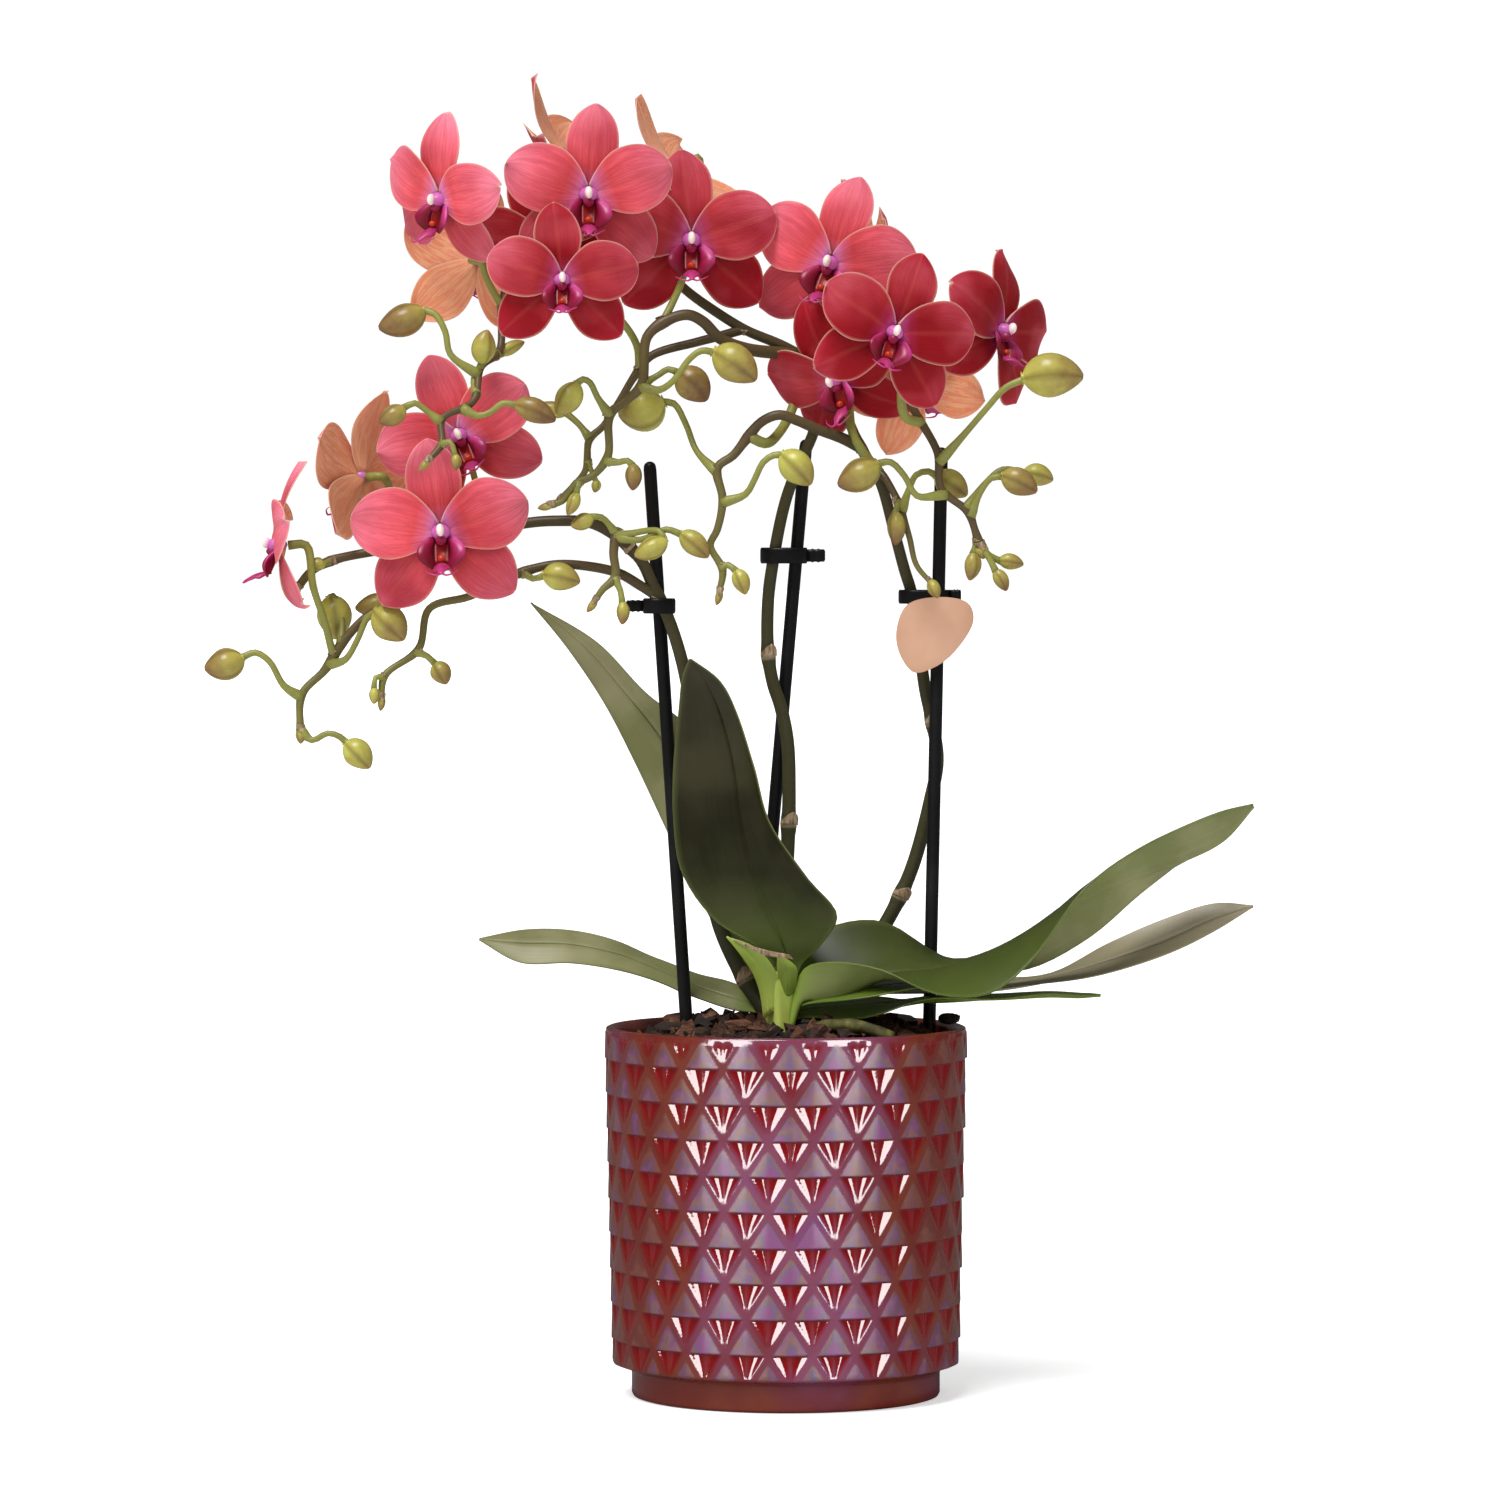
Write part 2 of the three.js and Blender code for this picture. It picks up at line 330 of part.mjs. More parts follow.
// Growing medium and small loose pieces
const CHIPS = [
  { at: [-33, -8, 104.5], size: [9, 7, 5], spin: 20, tilt: 12 },
  { at: [-24, -22, 104.2], size: [10, 6, 5], spin: 75, tilt: -10 },
  { at: [-16, -30, 103.6], size: [7, 6, 4], spin: 140, tilt: 15 },
  { at: [-14, -14, 106.2], size: [9, 5, 4], spin: 10, tilt: -8 },
  { at: [-30, 22, 105], size: [11, 8, 5], spin: 50, tilt: 10 },
  { at: [12, 30, 105.2], size: [12, 8, 5], spin: 110, tilt: -12 },
  { at: [33, 24, 104.4], size: [10, 7, 5], spin: 25, tilt: 8 },
  { at: [46.5, -2, 107.6], size: [11, 6, 3], spin: 95, tilt: -4 },
];
const AERIAL_ROOT = {
  thick: 2.3, thin: 1.6, route: [[5, -17, 104], [12, -25, 107], [20, -30, 107.5], [30, -32, 104.5]],
};
const HIDDEN_ROOTS = [
  [[-1, -6, 98], [-10, -14, 88], [-18, -22, 66], [-16, -24, 42]],
  [[0, -4, 98], [12, -12, 84], [22, -16, 60], [18, -20, 36]],
  [[-1, 0, 98], [-8, 10, 84], [-4, 22, 58], [6, 26, 34]],
];
const YOUNG_LEAF = [
  [[-3.5, -10.5, 117.5], [-0.5, -12, 117.5], [2.5, -10.5, 117.5]],
  [[-3.5, -14, 121], [-0.5, -14.5, 121], [2.5, -14, 121]],
  [[-4, -15.5, 124], [-0.5, -16.3, 124.5], [3, -15.5, 124]],
  [[-1, -17, 128.5]],
];
const DRY_SHEATH = [
  [[2.5, -17.6, 125], [1.5, -17.9, 126.2], [0.5, -17.8, 127.5]],
  [[-6, -18.4, 126], [-6, -18.7, 127.6], [-6, -18.4, 129]],
  [[-15, -17.8, 131]],
];
const CLIPS = {
  left_clip: {
    body: { at: [-36.2, 8.1, 225.2], size: [9.4, 11.4, 4.4] },
    tab: { at: [-43, 9.5, 225.2], size: [5.4, 2.4, 3.2] },
  },
  middle_clip: {
    body: { at: [-0.5, 17.6, 239.6], size: [13.6, 11.2, 4.6] },
    tab: { at: [8.6, 20, 239.6], size: [5.6, 2.6, 3.6] },
  },
  right_clip: {
    body: { at: [40, 8.9, 227.8], size: [15.6, 11.4, 4] },
    tab: { at: [48.6, 6.5, 228.2], size: [3, 2.6, 3.2] },
  },
};

const vector = (p) => new THREE.Vector3(...p);
const mix = (a, b, t) => a + (b - a) * t;

// Finishes
const finish = (color, roughness) => new THREE.MeshStandardMaterial({ color, roughness, metalness: 0 });
const FINISH = {
  glaze: finish('#8c191e', 0.12), plastic: finish('#1c1b1d', 0.35), nursery: finish('#3a352f', 0.3),
  bark: finish('#3b2a22', 0.95), leaf: finish('#3f4f26', 0.35), crown: finish('#9fb93f', 0.5),
  stem: finish('#4b4a2b', 0.5), petal: finish('#cf3350', 0.6), card: finish('#e3b48c', 0.9),
  root: finish('#8e8a55', 0.8), dry: finish('#a06a3c', 0.9),
};

// A closed solid through a list of rings, each a ring of points or one point at an end.
// A folded ring runs out and back as a blade's does: its second half is split along the other
// diagonals, so that both faces of a twisted blade bend along the same lines.
function loft(rings, folded = false) {
  const positions = [];
  const add = (a, b, c) => positions.push(...a.toArray(), ...b.toArray(), ...c.toArray());
  for (let i = 0; i + 1 < rings.length; i += 1) {
    const a = rings[i];
    const b = rings[i + 1];
    const count = Math.max(a.length, b.length);
    for (let k = 0; k < count; k += 1) {
      const next = (k + 1) % count;
      const back = folded && 2 * k >= count;
      if (b.length > 1) add(a[(back ? next : k) % a.length], b[next], b[k]);
      if (a.length > 1) add(a[k], a[next], b[(back ? k : next) % b.length]);
    }
  }
  for (const [ring, flip] of [[rings[0], true], [rings.at(-1), false]]) {
    for (let k = 1; k + 1 < ring.length; k += 1) {
      if (flip) add(ring[0], ring[k + 1], ring[k]);
      else add(ring[0], ring[k], ring[k + 1]);
    }
  }
  return toSolid(positions);
}

// Triangles as a solid, turned inside out where they point inwards
function toSolid(positions) {
  let volume = 0;
  const corner = (i) => new THREE.Vector3().fromArray(positions, i);
  for (let i = 0; i < positions.length; i += 9) {
    volume += corner(i).dot(corner(i + 3).cross(corner(i + 6)));
  }
  const geometry = new THREE.BufferGeometry();
  geometry.setAttribute('position', new THREE.Float32BufferAttribute(positions, 3));
  const merged = mergeVertices(geometry, 1e-4);
  const triVerts = Uint32Array.from(merged.index.array);
  if (volume < 0) {
    for (let i = 0; i < triVerts.length; i += 3) {
      [triVerts[i], triVerts[i + 1]] = [triVerts[i + 1], triVerts[i]];
    }
  }
  const vertProperties = Float32Array.from(merged.attributes.position.array);
  return new wasm.Manifold(new wasm.Mesh({ numProp: 3, vertProperties, triVerts }));
}

function toGeometry(solid) {
  const mesh = solid.getMesh();
  const geometry = new THREE.BufferGeometry();
  geometry.setAttribute('position', new THREE.BufferAttribute(Float32Array.from(mesh.vertProperties), 3));
  geometry.setIndex(new THREE.BufferAttribute(Uint32Array.from(mesh.triVerts), 1));
  geometry.computeVertexNormals();
  return geometry;
}

const join = (solids) => solids.reduce((whole, solid) => whole.add(solid));

// The middle line of a tube: a smooth curve through the points, as a chain of short straight steps
function middleLine(route, longest) {
  const curve = new THREE.CatmullRomCurve3(route.map(vector), false, 'centripetal');
  const line = [curve.getPoint(0)];
  for (let i = 1; i < route.length; i += 1) {
    const length = vector(route[i - 1]).distanceTo(vector(route[i]));
    const steps = Math.ceil(length / longest);
    for (let k = 1; k <= steps; k += 1) line.push(curve.getPoint((i - 1 + k / steps) / (route.length - 1)));
  }
  return line;
}

// The place on a chain of steps that lies nearest to a point
function nearestOn(line, point) {
  const target = vector(point);
  const places = line.slice(1).map((end, i) => new THREE.Line3(line[i], end)
    .closestPointToPoint(target, true, new THREE.Vector3()));
  places.sort((a, b) => a.distanceTo(target) - b.distanceTo(target));
  return places[0].toArray();
}

// A round tube along a chain of steps, tapering from one radius to the other and grown by extra
function tube(line, thick, thin, sides, extra) {
  const count = line.length - 1;
  const tangents = line.map((_, i) => line[Math.min(i + 1, count)].clone()
    .sub(line[Math.max(i - 1, 0)]).normalize());
  let across = new THREE.Vector3(0, 0, 1).cross(tangents[0]);
  if (across.length() < 0.1) across = new THREE.Vector3(1, 0, 0);
  const rings = line.map((place, i) => {
    across = across.clone().addScaledVector(tangents[i], -across.dot(tangents[i])).normalize();
    const up = new THREE.Vector3().crossVectors(tangents[i], across);
    const radius = mix(thick, thin, i / count) + extra;
    const beyond = (i === count ? extra : 0) - (i === 0 ? extra : 0);
    const centre = place.clone().addScaledVector(tangents[i], beyond);
    return Array.from({ length: sides }, (_, k) => {
      const angle = (2 * Math.PI * k) / sides;
      return centre.clone().addScaledVector(across, Math.cos(angle) * radius)
        .addScaledVector(up, Math.sin(angle) * radius);
    });
  });
  return loft(rings);
}

// A straight round solid from base to tip through pairs of place and radius, grown by extra
function turned(base, tip, pairs, sides, extra) {
  const start = vector(base);
  const axis = vector(tip).sub(start);
  const length = axis.length();
  axis.normalize();
  const upright = Math.abs(axis.z) > 0.8;
  const helper = new THREE.Vector3(upright ? 1 : 0, 0, upright ? 0 : 1);
  const across = new THREE.Vector3().crossVectors(axis, helper).normalize();
  const up = new THREE.Vector3().crossVectors(axis, across).normalize();
  return loft(pairs.map(([place, radius], i) => {
    const beyond = (i === pairs.length - 1 ? extra : 0) - (i === 0 ? extra : 0);
    const centre = start.clone().addScaledVector(axis, place * length + beyond);
    if (radius === 0) return [centre];
    return Array.from({ length: sides }, (_, k) => {
      const angle = (2 * Math.PI * k) / sides;
      return centre.clone().addScaledVector(across, Math.cos(angle) * (radius + extra))
        .addScaledVector(up, Math.sin(angle) * (radius + extra));
    });
  }));
}

function block({ at, size }) {
  const geometry = new THREE.BoxGeometry(...size);
  geometry.translate(...at);
  return toSolid(Array.from(geometry.toNonIndexed().attributes.position.array));
}

// The glazed pot
function potRing(radiusAt, z, columns) {
  return Array.from({ length: columns }, (_, k) => {
    const angle = THREE.MathUtils.degToRad(POT.turn - 90 + (360 * k) / columns);
    const radius = radiusAt(k);
    return new THREE.Vector3(Math.cos(angle) * radius, Math.sin(angle) * radius, z);
  });
}

function potOuterRadius(z) {
  return mix(POT.baseRadius, POT.rimRadius, z / POT.rimHeight) - POT.inset;
}

function makePot() {
  const columns = 2 * POT.cells;
  const plain = (radius, z) => potRing(() => radius, z, columns);
  const rings = [[new THREE.Vector3(0, 0, 0)]];
  rings.push(plain(POT.footRadius, 0));
  rings.push(plain(POT.footRadius, POT.footHeight - POT.footChamfer));
  rings.push(plain(POT.baseRadius - POT.bodyUndercut, POT.footHeight));
  const firstRelief = rings.length;
  const lastRow = POT.rows - 1;
  for (let row = lastRow; row >= 0; row -= 1) {
    const z = POT.topRow - row * POT.rowPitch;
    rings.push(potRing((k) => potOuterRadius(z) - ((k + row) % 2 === 1 ? 0 : POT.relief), z, columns));
  }
  const lastRelief = rings.length - 1;
  rings.push(plain(potOuterRadius(POT.underRim) - POT.relief * 0.6, POT.underRim));
  rings.push(plain(POT.rimRadius - 0.5, POT.rimHeight - POT.lipDrop));
  rings.push(plain(POT.rimRadius - POT.lipWidth, POT.rimHeight));
  rings.push(plain(POT.rimRadius - POT.wall, POT.rimHeight - POT.lipDrop));
  rings.push(plain(POT.baseRadius - POT.wall - POT.innerTaper, POT.floor));
  rings.push([new THREE.Vector3(0, 0, POT.floor)]);
  const positions = [];
  const add = (a, b, c) => positions.push(...a.toArray(), ...b.toArray(), ...c.toArray());
  for (let i = 0; i + 1 < rings.length; i += 1) {
    const a = rings[i];
    const b = rings[i + 1];
    for (let k = 0; k < columns; k += 1) {
      const next = (k + 1) % columns;
      if (a.length === 1) add(a[0], b[next], b[k]);
      else if (b.length === 1) add(a[k], a[next], b[0]);
      else {
        const row = lastRow - (i - firstRelief);
        const inRelief = i >= firstRelief && i < lastRelief;
        const fromValley = inRelief ? (k + row) % 2 === 0 : true;
        if (fromValley) { add(a[k], a[next], b[next]); add(a[k], b[next], b[k]); }
        else { add(a[k], a[next], b[k]); add(a[next], b[next], b[k]); }
      }
    }
  }
  return toSolid(positions);
}

// The thin plastic nursery pot inside it
function nurseryRadius(z) {
  const share = (z - NURSERY.base) / (NURSERY.rimHeight - NURSERY.base);
  return mix(NURSERY.baseRadius, NURSERY.rimRadius - NURSERY.rimStep, share);
}

function makeNurseryPot() {
  const inner = (z) => nurseryRadius(z) - NURSERY.wall;
  const band = NURSERY.rimHeight - NURSERY.rimBand;
  const floor = NURSERY.base + NURSERY.floor;
  const profile = [
    [0, NURSERY.base], [nurseryRadius(NURSERY.base), NURSERY.base],
    [nurseryRadius(band), band], [NURSERY.rimRadius, band], [NURSERY.rimRadius, NURSERY.rimHeight],
    [inner(NURSERY.rimHeight), NURSERY.rimHeight], [inner(floor), floor], [0, floor],
  ].map(([r, z]) => new THREE.Vector2(r, z));
  const geometry = new THREE.LatheGeometry(profile, NURSERY.sides);
  geometry.rotateX(Math.PI / 2);
  geometry.deleteAttribute('normal');
  geometry.deleteAttribute('uv');
  return toSolid(dropFlat(geometry.toNonIndexed().attributes.position.array));
}

// Leaves out the triangles without area where a lathe closes on its axis
function dropFlat(positions) {
  const kept = [];
  for (let i = 0; i < positions.length; i += 9) {
    const a = new THREE.Vector3().fromArray(positions, i);
    const b = new THREE.Vector3().fromArray(positions, i + 3).sub(a);
    const c = new THREE.Vector3().fromArray(positions, i + 6).sub(a);
    if (b.cross(c).length() > 1e-6) kept.push(...positions.slice(i, i + 9));
  }
  return kept;
}

// The bark bed, with a lumpy top
function makeBark(extra) {
  const clear = NURSERY.wall + 2 * GAP - extra;
  const edge = nurseryRadius(NURSERY.rimHeight) - clear;
  const foot = nurseryRadius(NURSERY.base + NURSERY.floor) - clear;
  const ring = (radius, height) => Array.from({ length: BARK.sides }, (_, k) => {
    const angle = (2 * Math.PI * k) / BARK.sides;
    const lump = Math.sin(3.7 * k + height) * Math.sin(1.9 * k + 0.3 * height);
    const z = height + BARK.lump * lump + extra;
    return new THREE.Vector3(Math.cos(angle) * radius, Math.sin(angle) * radius, z);
  });
  const flat = (radius, z) => ring(radius, 0).map((p) => p.setZ(z));
  const floor = NURSERY.base + NURSERY.floor + GAP - extra;
  return loft([
    [new THREE.Vector3(0, 0, floor)], flat(foot, floor), flat(edge, NURSERY.rimHeight - 1.5),
    ring(edge - 3, BARK.edgeHeight), ring(34, BARK.middleHeight - 1.4), ring(20, BARK.middleHeight),
    [new THREE.Vector3(0, 0, BARK.middleHeight + extra)],
  ]);
}

// The short stem that carries the leaves, with the roots inside the bark
function makeCrown(extra) {
  const last = CROWN.rings.length - 1;
  const column = loft(CROWN.rings.map(([z, scale], i) => {
    const beyond = (i === last ? extra : 0) - (i === 0 ? extra : 0);
    return Array.from({ length: CROWN.sides }, (_, k) => {
      const angle = (2 * Math.PI * k) / CROWN.sides;
      return new THREE.Vector3(
        CROWN.x + Math.cos(angle) * (CROWN.across * scale + extra),
        CROWN.y + Math.sin(angle) * (CROWN.deep + extra), z + beyond);
    });
  }));
  const roots = HIDDEN_ROOTS.map((route) => tube(
    middleLine(route, 40), HIDDEN_ROOT.thick, HIDDEN_ROOT.thin, 4, extra));
  return join([column, ...roots]);
}

// The section of a thin blade: its two edges, and its middle that is thicker than they are
function bladeRing(near, middle, far, normal, halfMiddle, halfEdge) {
  const off = (point, distance) => point.clone().addScaledVector(normal, distance);
  if (halfEdge === 0) return [near, off(middle, halfMiddle), far, off(middle, -halfMiddle)];
  return [off(near, halfEdge), off(middle, halfMiddle), off(far, halfEdge),
    off(far, -halfEdge), off(middle, -halfMiddle), off(near, -halfEdge)];
}

// A leaf through its three lines: near edge, midrib and far edge
function leafBlade(stations, thickness, extra) {
  const lines = [0, 1, 2].map((i) => new THREE.CatmullRomCurve3(
    stations.map((station) => vector(station[Math.min(i, station.length - 1)])), false, 'centripetal'));
  const rings = [];
  for (let i = 0; i < LEAF.steps; i += 1) {
    const t = i / LEAF.steps;
    const [near, middle, far] = lines.map((line) => line.getPoint(t));
    const across = far.clone().sub(near).normalize();
    const normal = new THREE.Vector3().crossVectors(across, lines[1].getTangent(t)).normalize();
    near.addScaledVector(across, -extra);
    far.addScaledVector(across, extra);
    if (i === 0) [near, middle, far].forEach((p) => p.addScaledVector(lines[1].getTangent(0), -extra));
    rings.push(bladeRing(near, middle, far, normal, thickness / 2 + extra, LEAF.edge / 2 + extra));
  }
  rings.push([lines[1].getPoint(1).addScaledVector(lines[1].getTangent(1), extra)]);
  return loft(rings, true);
}

// One tepal, from the middle of the flower outwards
function tepal(frame, kind, angle, length, width, extra) {
  const turn = THREE.MathUtils.degToRad(angle);
  const along = frame.right.clone().multiplyScalar(Math.cos(turn)).addScaledVector(frame.up, Math.sin(turn));
  const side = new THREE.Vector3().crossVectors(frame.facing, along).normalize();
  const place = (outward, sideways, forward) => frame.at.clone().addScaledVector(along, outward)
    .addScaledVector(side, sideways).addScaledVector(frame.facing, kind.forward + forward);
  const half = TEPAL.thickness / 2 + extra;
  const rings = kind.stations.map(([outward, share]) => {
    const lift = TEPAL.lift * share;
    const reach = (share * width) / 2 + extra;
    const away = outward * length;
    return bladeRing(place(away, reach, lift), place(away, 0, lift), place(away, -reach, lift),
      frame.facing, half, extra);
  });
  rings.push([place(length + extra, 0, 0)]);
  return loft(rings);
}

function flowerFrame(flower) {
  const turn = THREE.MathUtils.degToRad(flower.turn);
  const nod = THREE.MathUtils.degToRad(flower.nod);
  const roll = THREE.MathUtils.degToRad(flower.roll);
  const level = new THREE.Vector3(Math.sin(turn), -Math.cos(turn), 0);
  const right = new THREE.Vector3(Math.cos(turn), Math.sin(turn), 0);
  const facing = level.clone().multiplyScalar(Math.cos(nod)).add(new THREE.Vector3(0, 0, Math.sin(nod)));
  const up = new THREE.Vector3().crossVectors(facing, right).normalize();
  right.applyAxisAngle(facing, roll);
  up.applyAxisAngle(facing, roll);
  return { at: vector(flower.at), facing, right, up };
}

function makeFlower(flower, extra) {
  const frame = flowerFrame(flower);
  const size = flower.span / 2;
  const place = (forward, up) => frame.at.clone().addScaledVector(frame.facing, forward)
    .addScaledVector(frame.up, up).toArray();
  const tepals = TEPALS.map(([kind, angle, length, width]) => tepal(
    frame, kind, angle, length * size, width * size, extra));
  const cone = (from, to, radii, sides) => turned(
    place(...from), place(...to), [[0, radii[0]], [1, radii[1]]], sides, extra);
  const heart = cone([-HEART.behind, 0], [HEART.front, 0], HEART.radii, 5);
  const column = cone(COLUMN.from, COLUMN.to, COLUMN.radii, 4);
  const lip = cone(LIP.from, [LIP.forward, -LIP.drop * size], LIP.radii, 4);
  return join([...tepals, heart, column, lip]);
}

function makeBud(bud, extra) {
  const length = vector(bud.base).distanceTo(vector(bud.tip));
  const start = vector(bud.base).lerp(vector(bud.tip), -0.8 / length).toArray();
  return turned(start, bud.tip, [[0, 0.45 * bud.radius], [0.45, bud.radius], [1, 0]], 5, extra);
}

// The stalks and buds that grew on one stem or branch
function sideGrowth(name, line, extra) {
  const parts = [];
  for (const bud of BUDS.filter((item) => item.on === name)) {
    parts.push(makeBud(bud, extra));
    if (bud.stalk.length > 0) {
      const route = [nearestOn(line, bud.stalk[0]), ...bud.stalk.slice(1), bud.base];
      parts.push(tube(middleLine(route, 8), BUD_STALK_RADIUS, BUD_STALK_RADIUS, 3, extra));
    }
  }
  for (const flower of FLOWERS.filter((item) => item.on === name)) {
    const { at, facing } = flowerFrame(flower);
    const behind = (distance) => at.clone().addScaledVector(facing, -distance).toArray();
    const free = flower.stalk.slice(1).filter((place) => at.distanceTo(vector(place)) > STALK_CURVE + 1);
    const route = [nearestOn(line, flower.stalk[0]), ...free, behind(STALK_CURVE), behind(HEART.behind / 2)];
    parts.push(tube(middleLine(route, 12), flower.thick, flower.thick, 4, extra));
  }
  return parts;
}

// A flower stem with all its branches, stalks and buds, which grew as one
function makeStem(name, extra) {
  const stem = STEMS[name];
  const line = middleLine(stem.route, 12);
  const parts = [tube(line, stem.thick, stem.thin, 5, extra), ...sideGrowth(name, line, extra)];
  for (const [branchName, branch] of Object.entries(BRANCHES)) {
    if (branch.of === name) {
      const route = [nearestOn(line, branch.route[0]), ...branch.route.slice(1)];
      const branchLine = middleLine(route, 10);
      parts.push(tube(branchLine, branch.thick, branch.thin, 4, extra));
      parts.push(...sideGrowth(branchName, branchLine, extra));
    }
  }
  return join(parts);
}

function makeAerialRoot(extra) {
  const line = middleLine(AERIAL_ROOT.route, 8);
  return tube(line, AERIAL_ROOT.thick, AERIAL_ROOT.thin, 6, extra);
}

function makeChip(chip) {
  const box = new THREE.BoxGeometry(...chip.size);
  const turn = new THREE.Euler(THREE.MathUtils.degToRad(chip.tilt), 0, THREE.MathUtils.degToRad(chip.spin));
  const position = box.attributes.position;
  for (let i = 0; i < position.count; i += 1) {
    const p = new THREE.Vector3().fromBufferAttribute(position, i);
    const corner = 5 * Math.sign(p.x) + 3 * Math.sign(p.y) + 7 * Math.sign(p.z);
    p.multiplyScalar(0.82 + 0.18 * Math.sin(corner + chip.spin)).applyEuler(turn).add(vector(chip.at));
    position.setXYZ(i, p.x, p.y, p.z);
  }
  return toSolid(Array.from(box.toNonIndexed().attributes.position.array));
}

function makeClip(clip) {
  return join([block(clip.body), block(clip.tab)]);
}

function makeTag() {
  const outline = new THREE.CatmullRomCurve3(
    TAG.outline.map(([x, z]) => new THREE.Vector3(x, 0, z)), true, 'centripetal')
    .getPoints(TAG.sides).slice(0, TAG.sides);
  const ring = (y) => outline.map((p) => p.clone().setY(y));
  return loft([ring(TAG.front), ring(TAG.front + TAG.thickness)]);
}

// Builds the object piece by piece: each new piece gives way to those that are already in place
const orchid = new THREE.Group();
const placed = [];

function largestPart(solid) {
  const parts = solid.decompose();
  return parts.reduce((best, part) => (part.volume() > best.volume() ? part : best));
}

function boxesMeet(a, b) {
  return [0, 1, 2].every((i) => a.min[i] < b.max[i] && b.min[i] < a.max[i]);
}

// make(extra) gives the piece, grown all over by extra millimetres
function add(name, material, make) {
  let solid = make(0);
  const grown = make(GAP);
  const box = grown.boundingBox();
  for (const other of placed) {
    if (boxesMeet(box, other.box)) {
      solid = solid.subtract(other.grown);
    }
  }
  const mesh = new THREE.Mesh(toGeometry(largestPart(solid.simplify(COARSENESS))), material);
  mesh.name = name;
  orchid.add(mesh);
  placed.push({ grown, box });
}

add('glazed_pot', FINISH.glaze, makePot);
add('nursery_pot', FINISH.nursery, makeNurseryPot);
add('crown', FINISH.crown, makeCrown);
for (const [name, stake] of Object.entries(STAKES)) {
  const rings = [[0, STAKE.pointRadius], [STAKE.pointShare, STAKE.radius], [1, STAKE.radius]];
  add(name, FINISH.plastic, (extra) => turned(stake.point, stake.top, rings, STAKE.sides, extra));
}
for (const name of Object.keys(STEMS)) {
  add(name, FINISH.stem, (extra) => makeStem(name, extra));
}
for (const [name, stations] of Object.entries(LEAVES)) {
  add(name, FINISH.leaf, (extra) => leafBlade(stations, LEAF.thickness, extra));
}
add('young_leaf', FINISH.crown, (extra) => leafBlade(YOUNG_LEAF, LEAF.youngThickness, extra));
add('dry_leaf_tip', FINISH.dry, (extra) => leafBlade(DRY_SHEATH, LEAF.dryThickness, extra));
add('aerial_root', FINISH.root, (extra) => makeAerialRoot(extra));
add('bark_bed', FINISH.bark, makeBark);
CHIPS.forEach((chip, i) => add(`bark_chip_${i + 1}`, FINISH.bark, () => makeChip(chip)));
for (const [name, clip] of Object.entries(CLIPS)) {
  add(name, FINISH.plastic, () => makeClip(clip));
}
add('hang_tag', FINISH.card, makeTag);
FLOWERS.forEach((flower, i) => {
  add(`flower_${String(i + 1).padStart(2, '0')}`, FINISH.petal, (extra) => makeFlower(flower, extra));
});

export default orchid;
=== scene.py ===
# %% [markdown]
# # A potted moth orchid, with its looks built around a fixed CAD frame
# The object is a small moth orchid: three flower stems tied to dark plastic stakes, a fan of
# thick leaves, bark chips to grow in, and a straight-sided pot whose glaze lies over a relief
# of diamonds. The CAD model holds every piece as a coarse solid in its right place. This
# lesson keeps those places and gives each piece its smooth shape, its fine detail and a
# procedural finish. The plant and the pot are worked out in millimetres, and one factor turns
# them to metres. The camera, the floor and the lamps are placed in metres.

# %% Load the frame
import math
import random

import bpy
import bmesh
import numpy as np
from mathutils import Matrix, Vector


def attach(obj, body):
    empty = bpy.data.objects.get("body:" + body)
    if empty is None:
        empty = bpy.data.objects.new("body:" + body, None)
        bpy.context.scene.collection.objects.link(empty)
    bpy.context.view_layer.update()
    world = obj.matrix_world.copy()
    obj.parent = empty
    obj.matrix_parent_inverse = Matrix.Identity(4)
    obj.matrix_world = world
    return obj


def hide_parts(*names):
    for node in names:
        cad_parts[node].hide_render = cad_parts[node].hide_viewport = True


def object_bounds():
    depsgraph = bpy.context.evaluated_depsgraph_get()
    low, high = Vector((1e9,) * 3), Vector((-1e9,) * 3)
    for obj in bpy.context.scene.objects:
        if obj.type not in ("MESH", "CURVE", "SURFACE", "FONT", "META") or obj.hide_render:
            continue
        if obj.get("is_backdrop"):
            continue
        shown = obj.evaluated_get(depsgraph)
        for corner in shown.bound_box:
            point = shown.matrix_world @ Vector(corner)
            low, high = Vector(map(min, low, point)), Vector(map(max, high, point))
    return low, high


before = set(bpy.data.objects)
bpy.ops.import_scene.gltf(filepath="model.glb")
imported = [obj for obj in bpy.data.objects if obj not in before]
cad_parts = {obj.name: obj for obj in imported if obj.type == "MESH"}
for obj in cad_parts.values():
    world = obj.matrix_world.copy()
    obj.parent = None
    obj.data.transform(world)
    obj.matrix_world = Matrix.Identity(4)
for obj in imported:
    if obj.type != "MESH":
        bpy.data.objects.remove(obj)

cad_box = [list(corner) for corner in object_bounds()]
print("CAD nodes:", len(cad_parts))

# %% [markdown]
# ## The camera
# The photograph was taken from a little above the middle of the plant, from about two metres
# away: the pot's far rim just shows over its near rim. A long lens keeps the perspective
# mild. The camera comes first, because every later piece is compared through it.

# %% Camera, in metres
PICTURE_CENTRE = (-0.0108, 0.0, 0.1842)
CAMERA_PLACE = (-0.0108, -1.9, 0.2406)
LENS = 160.07
SENSOR_WIDTH = 36


def put_in_scene(name, data):
    made = bpy.data.objects.new(name, data)
    bpy.context.scene.collection.objects.link(made)
    return made


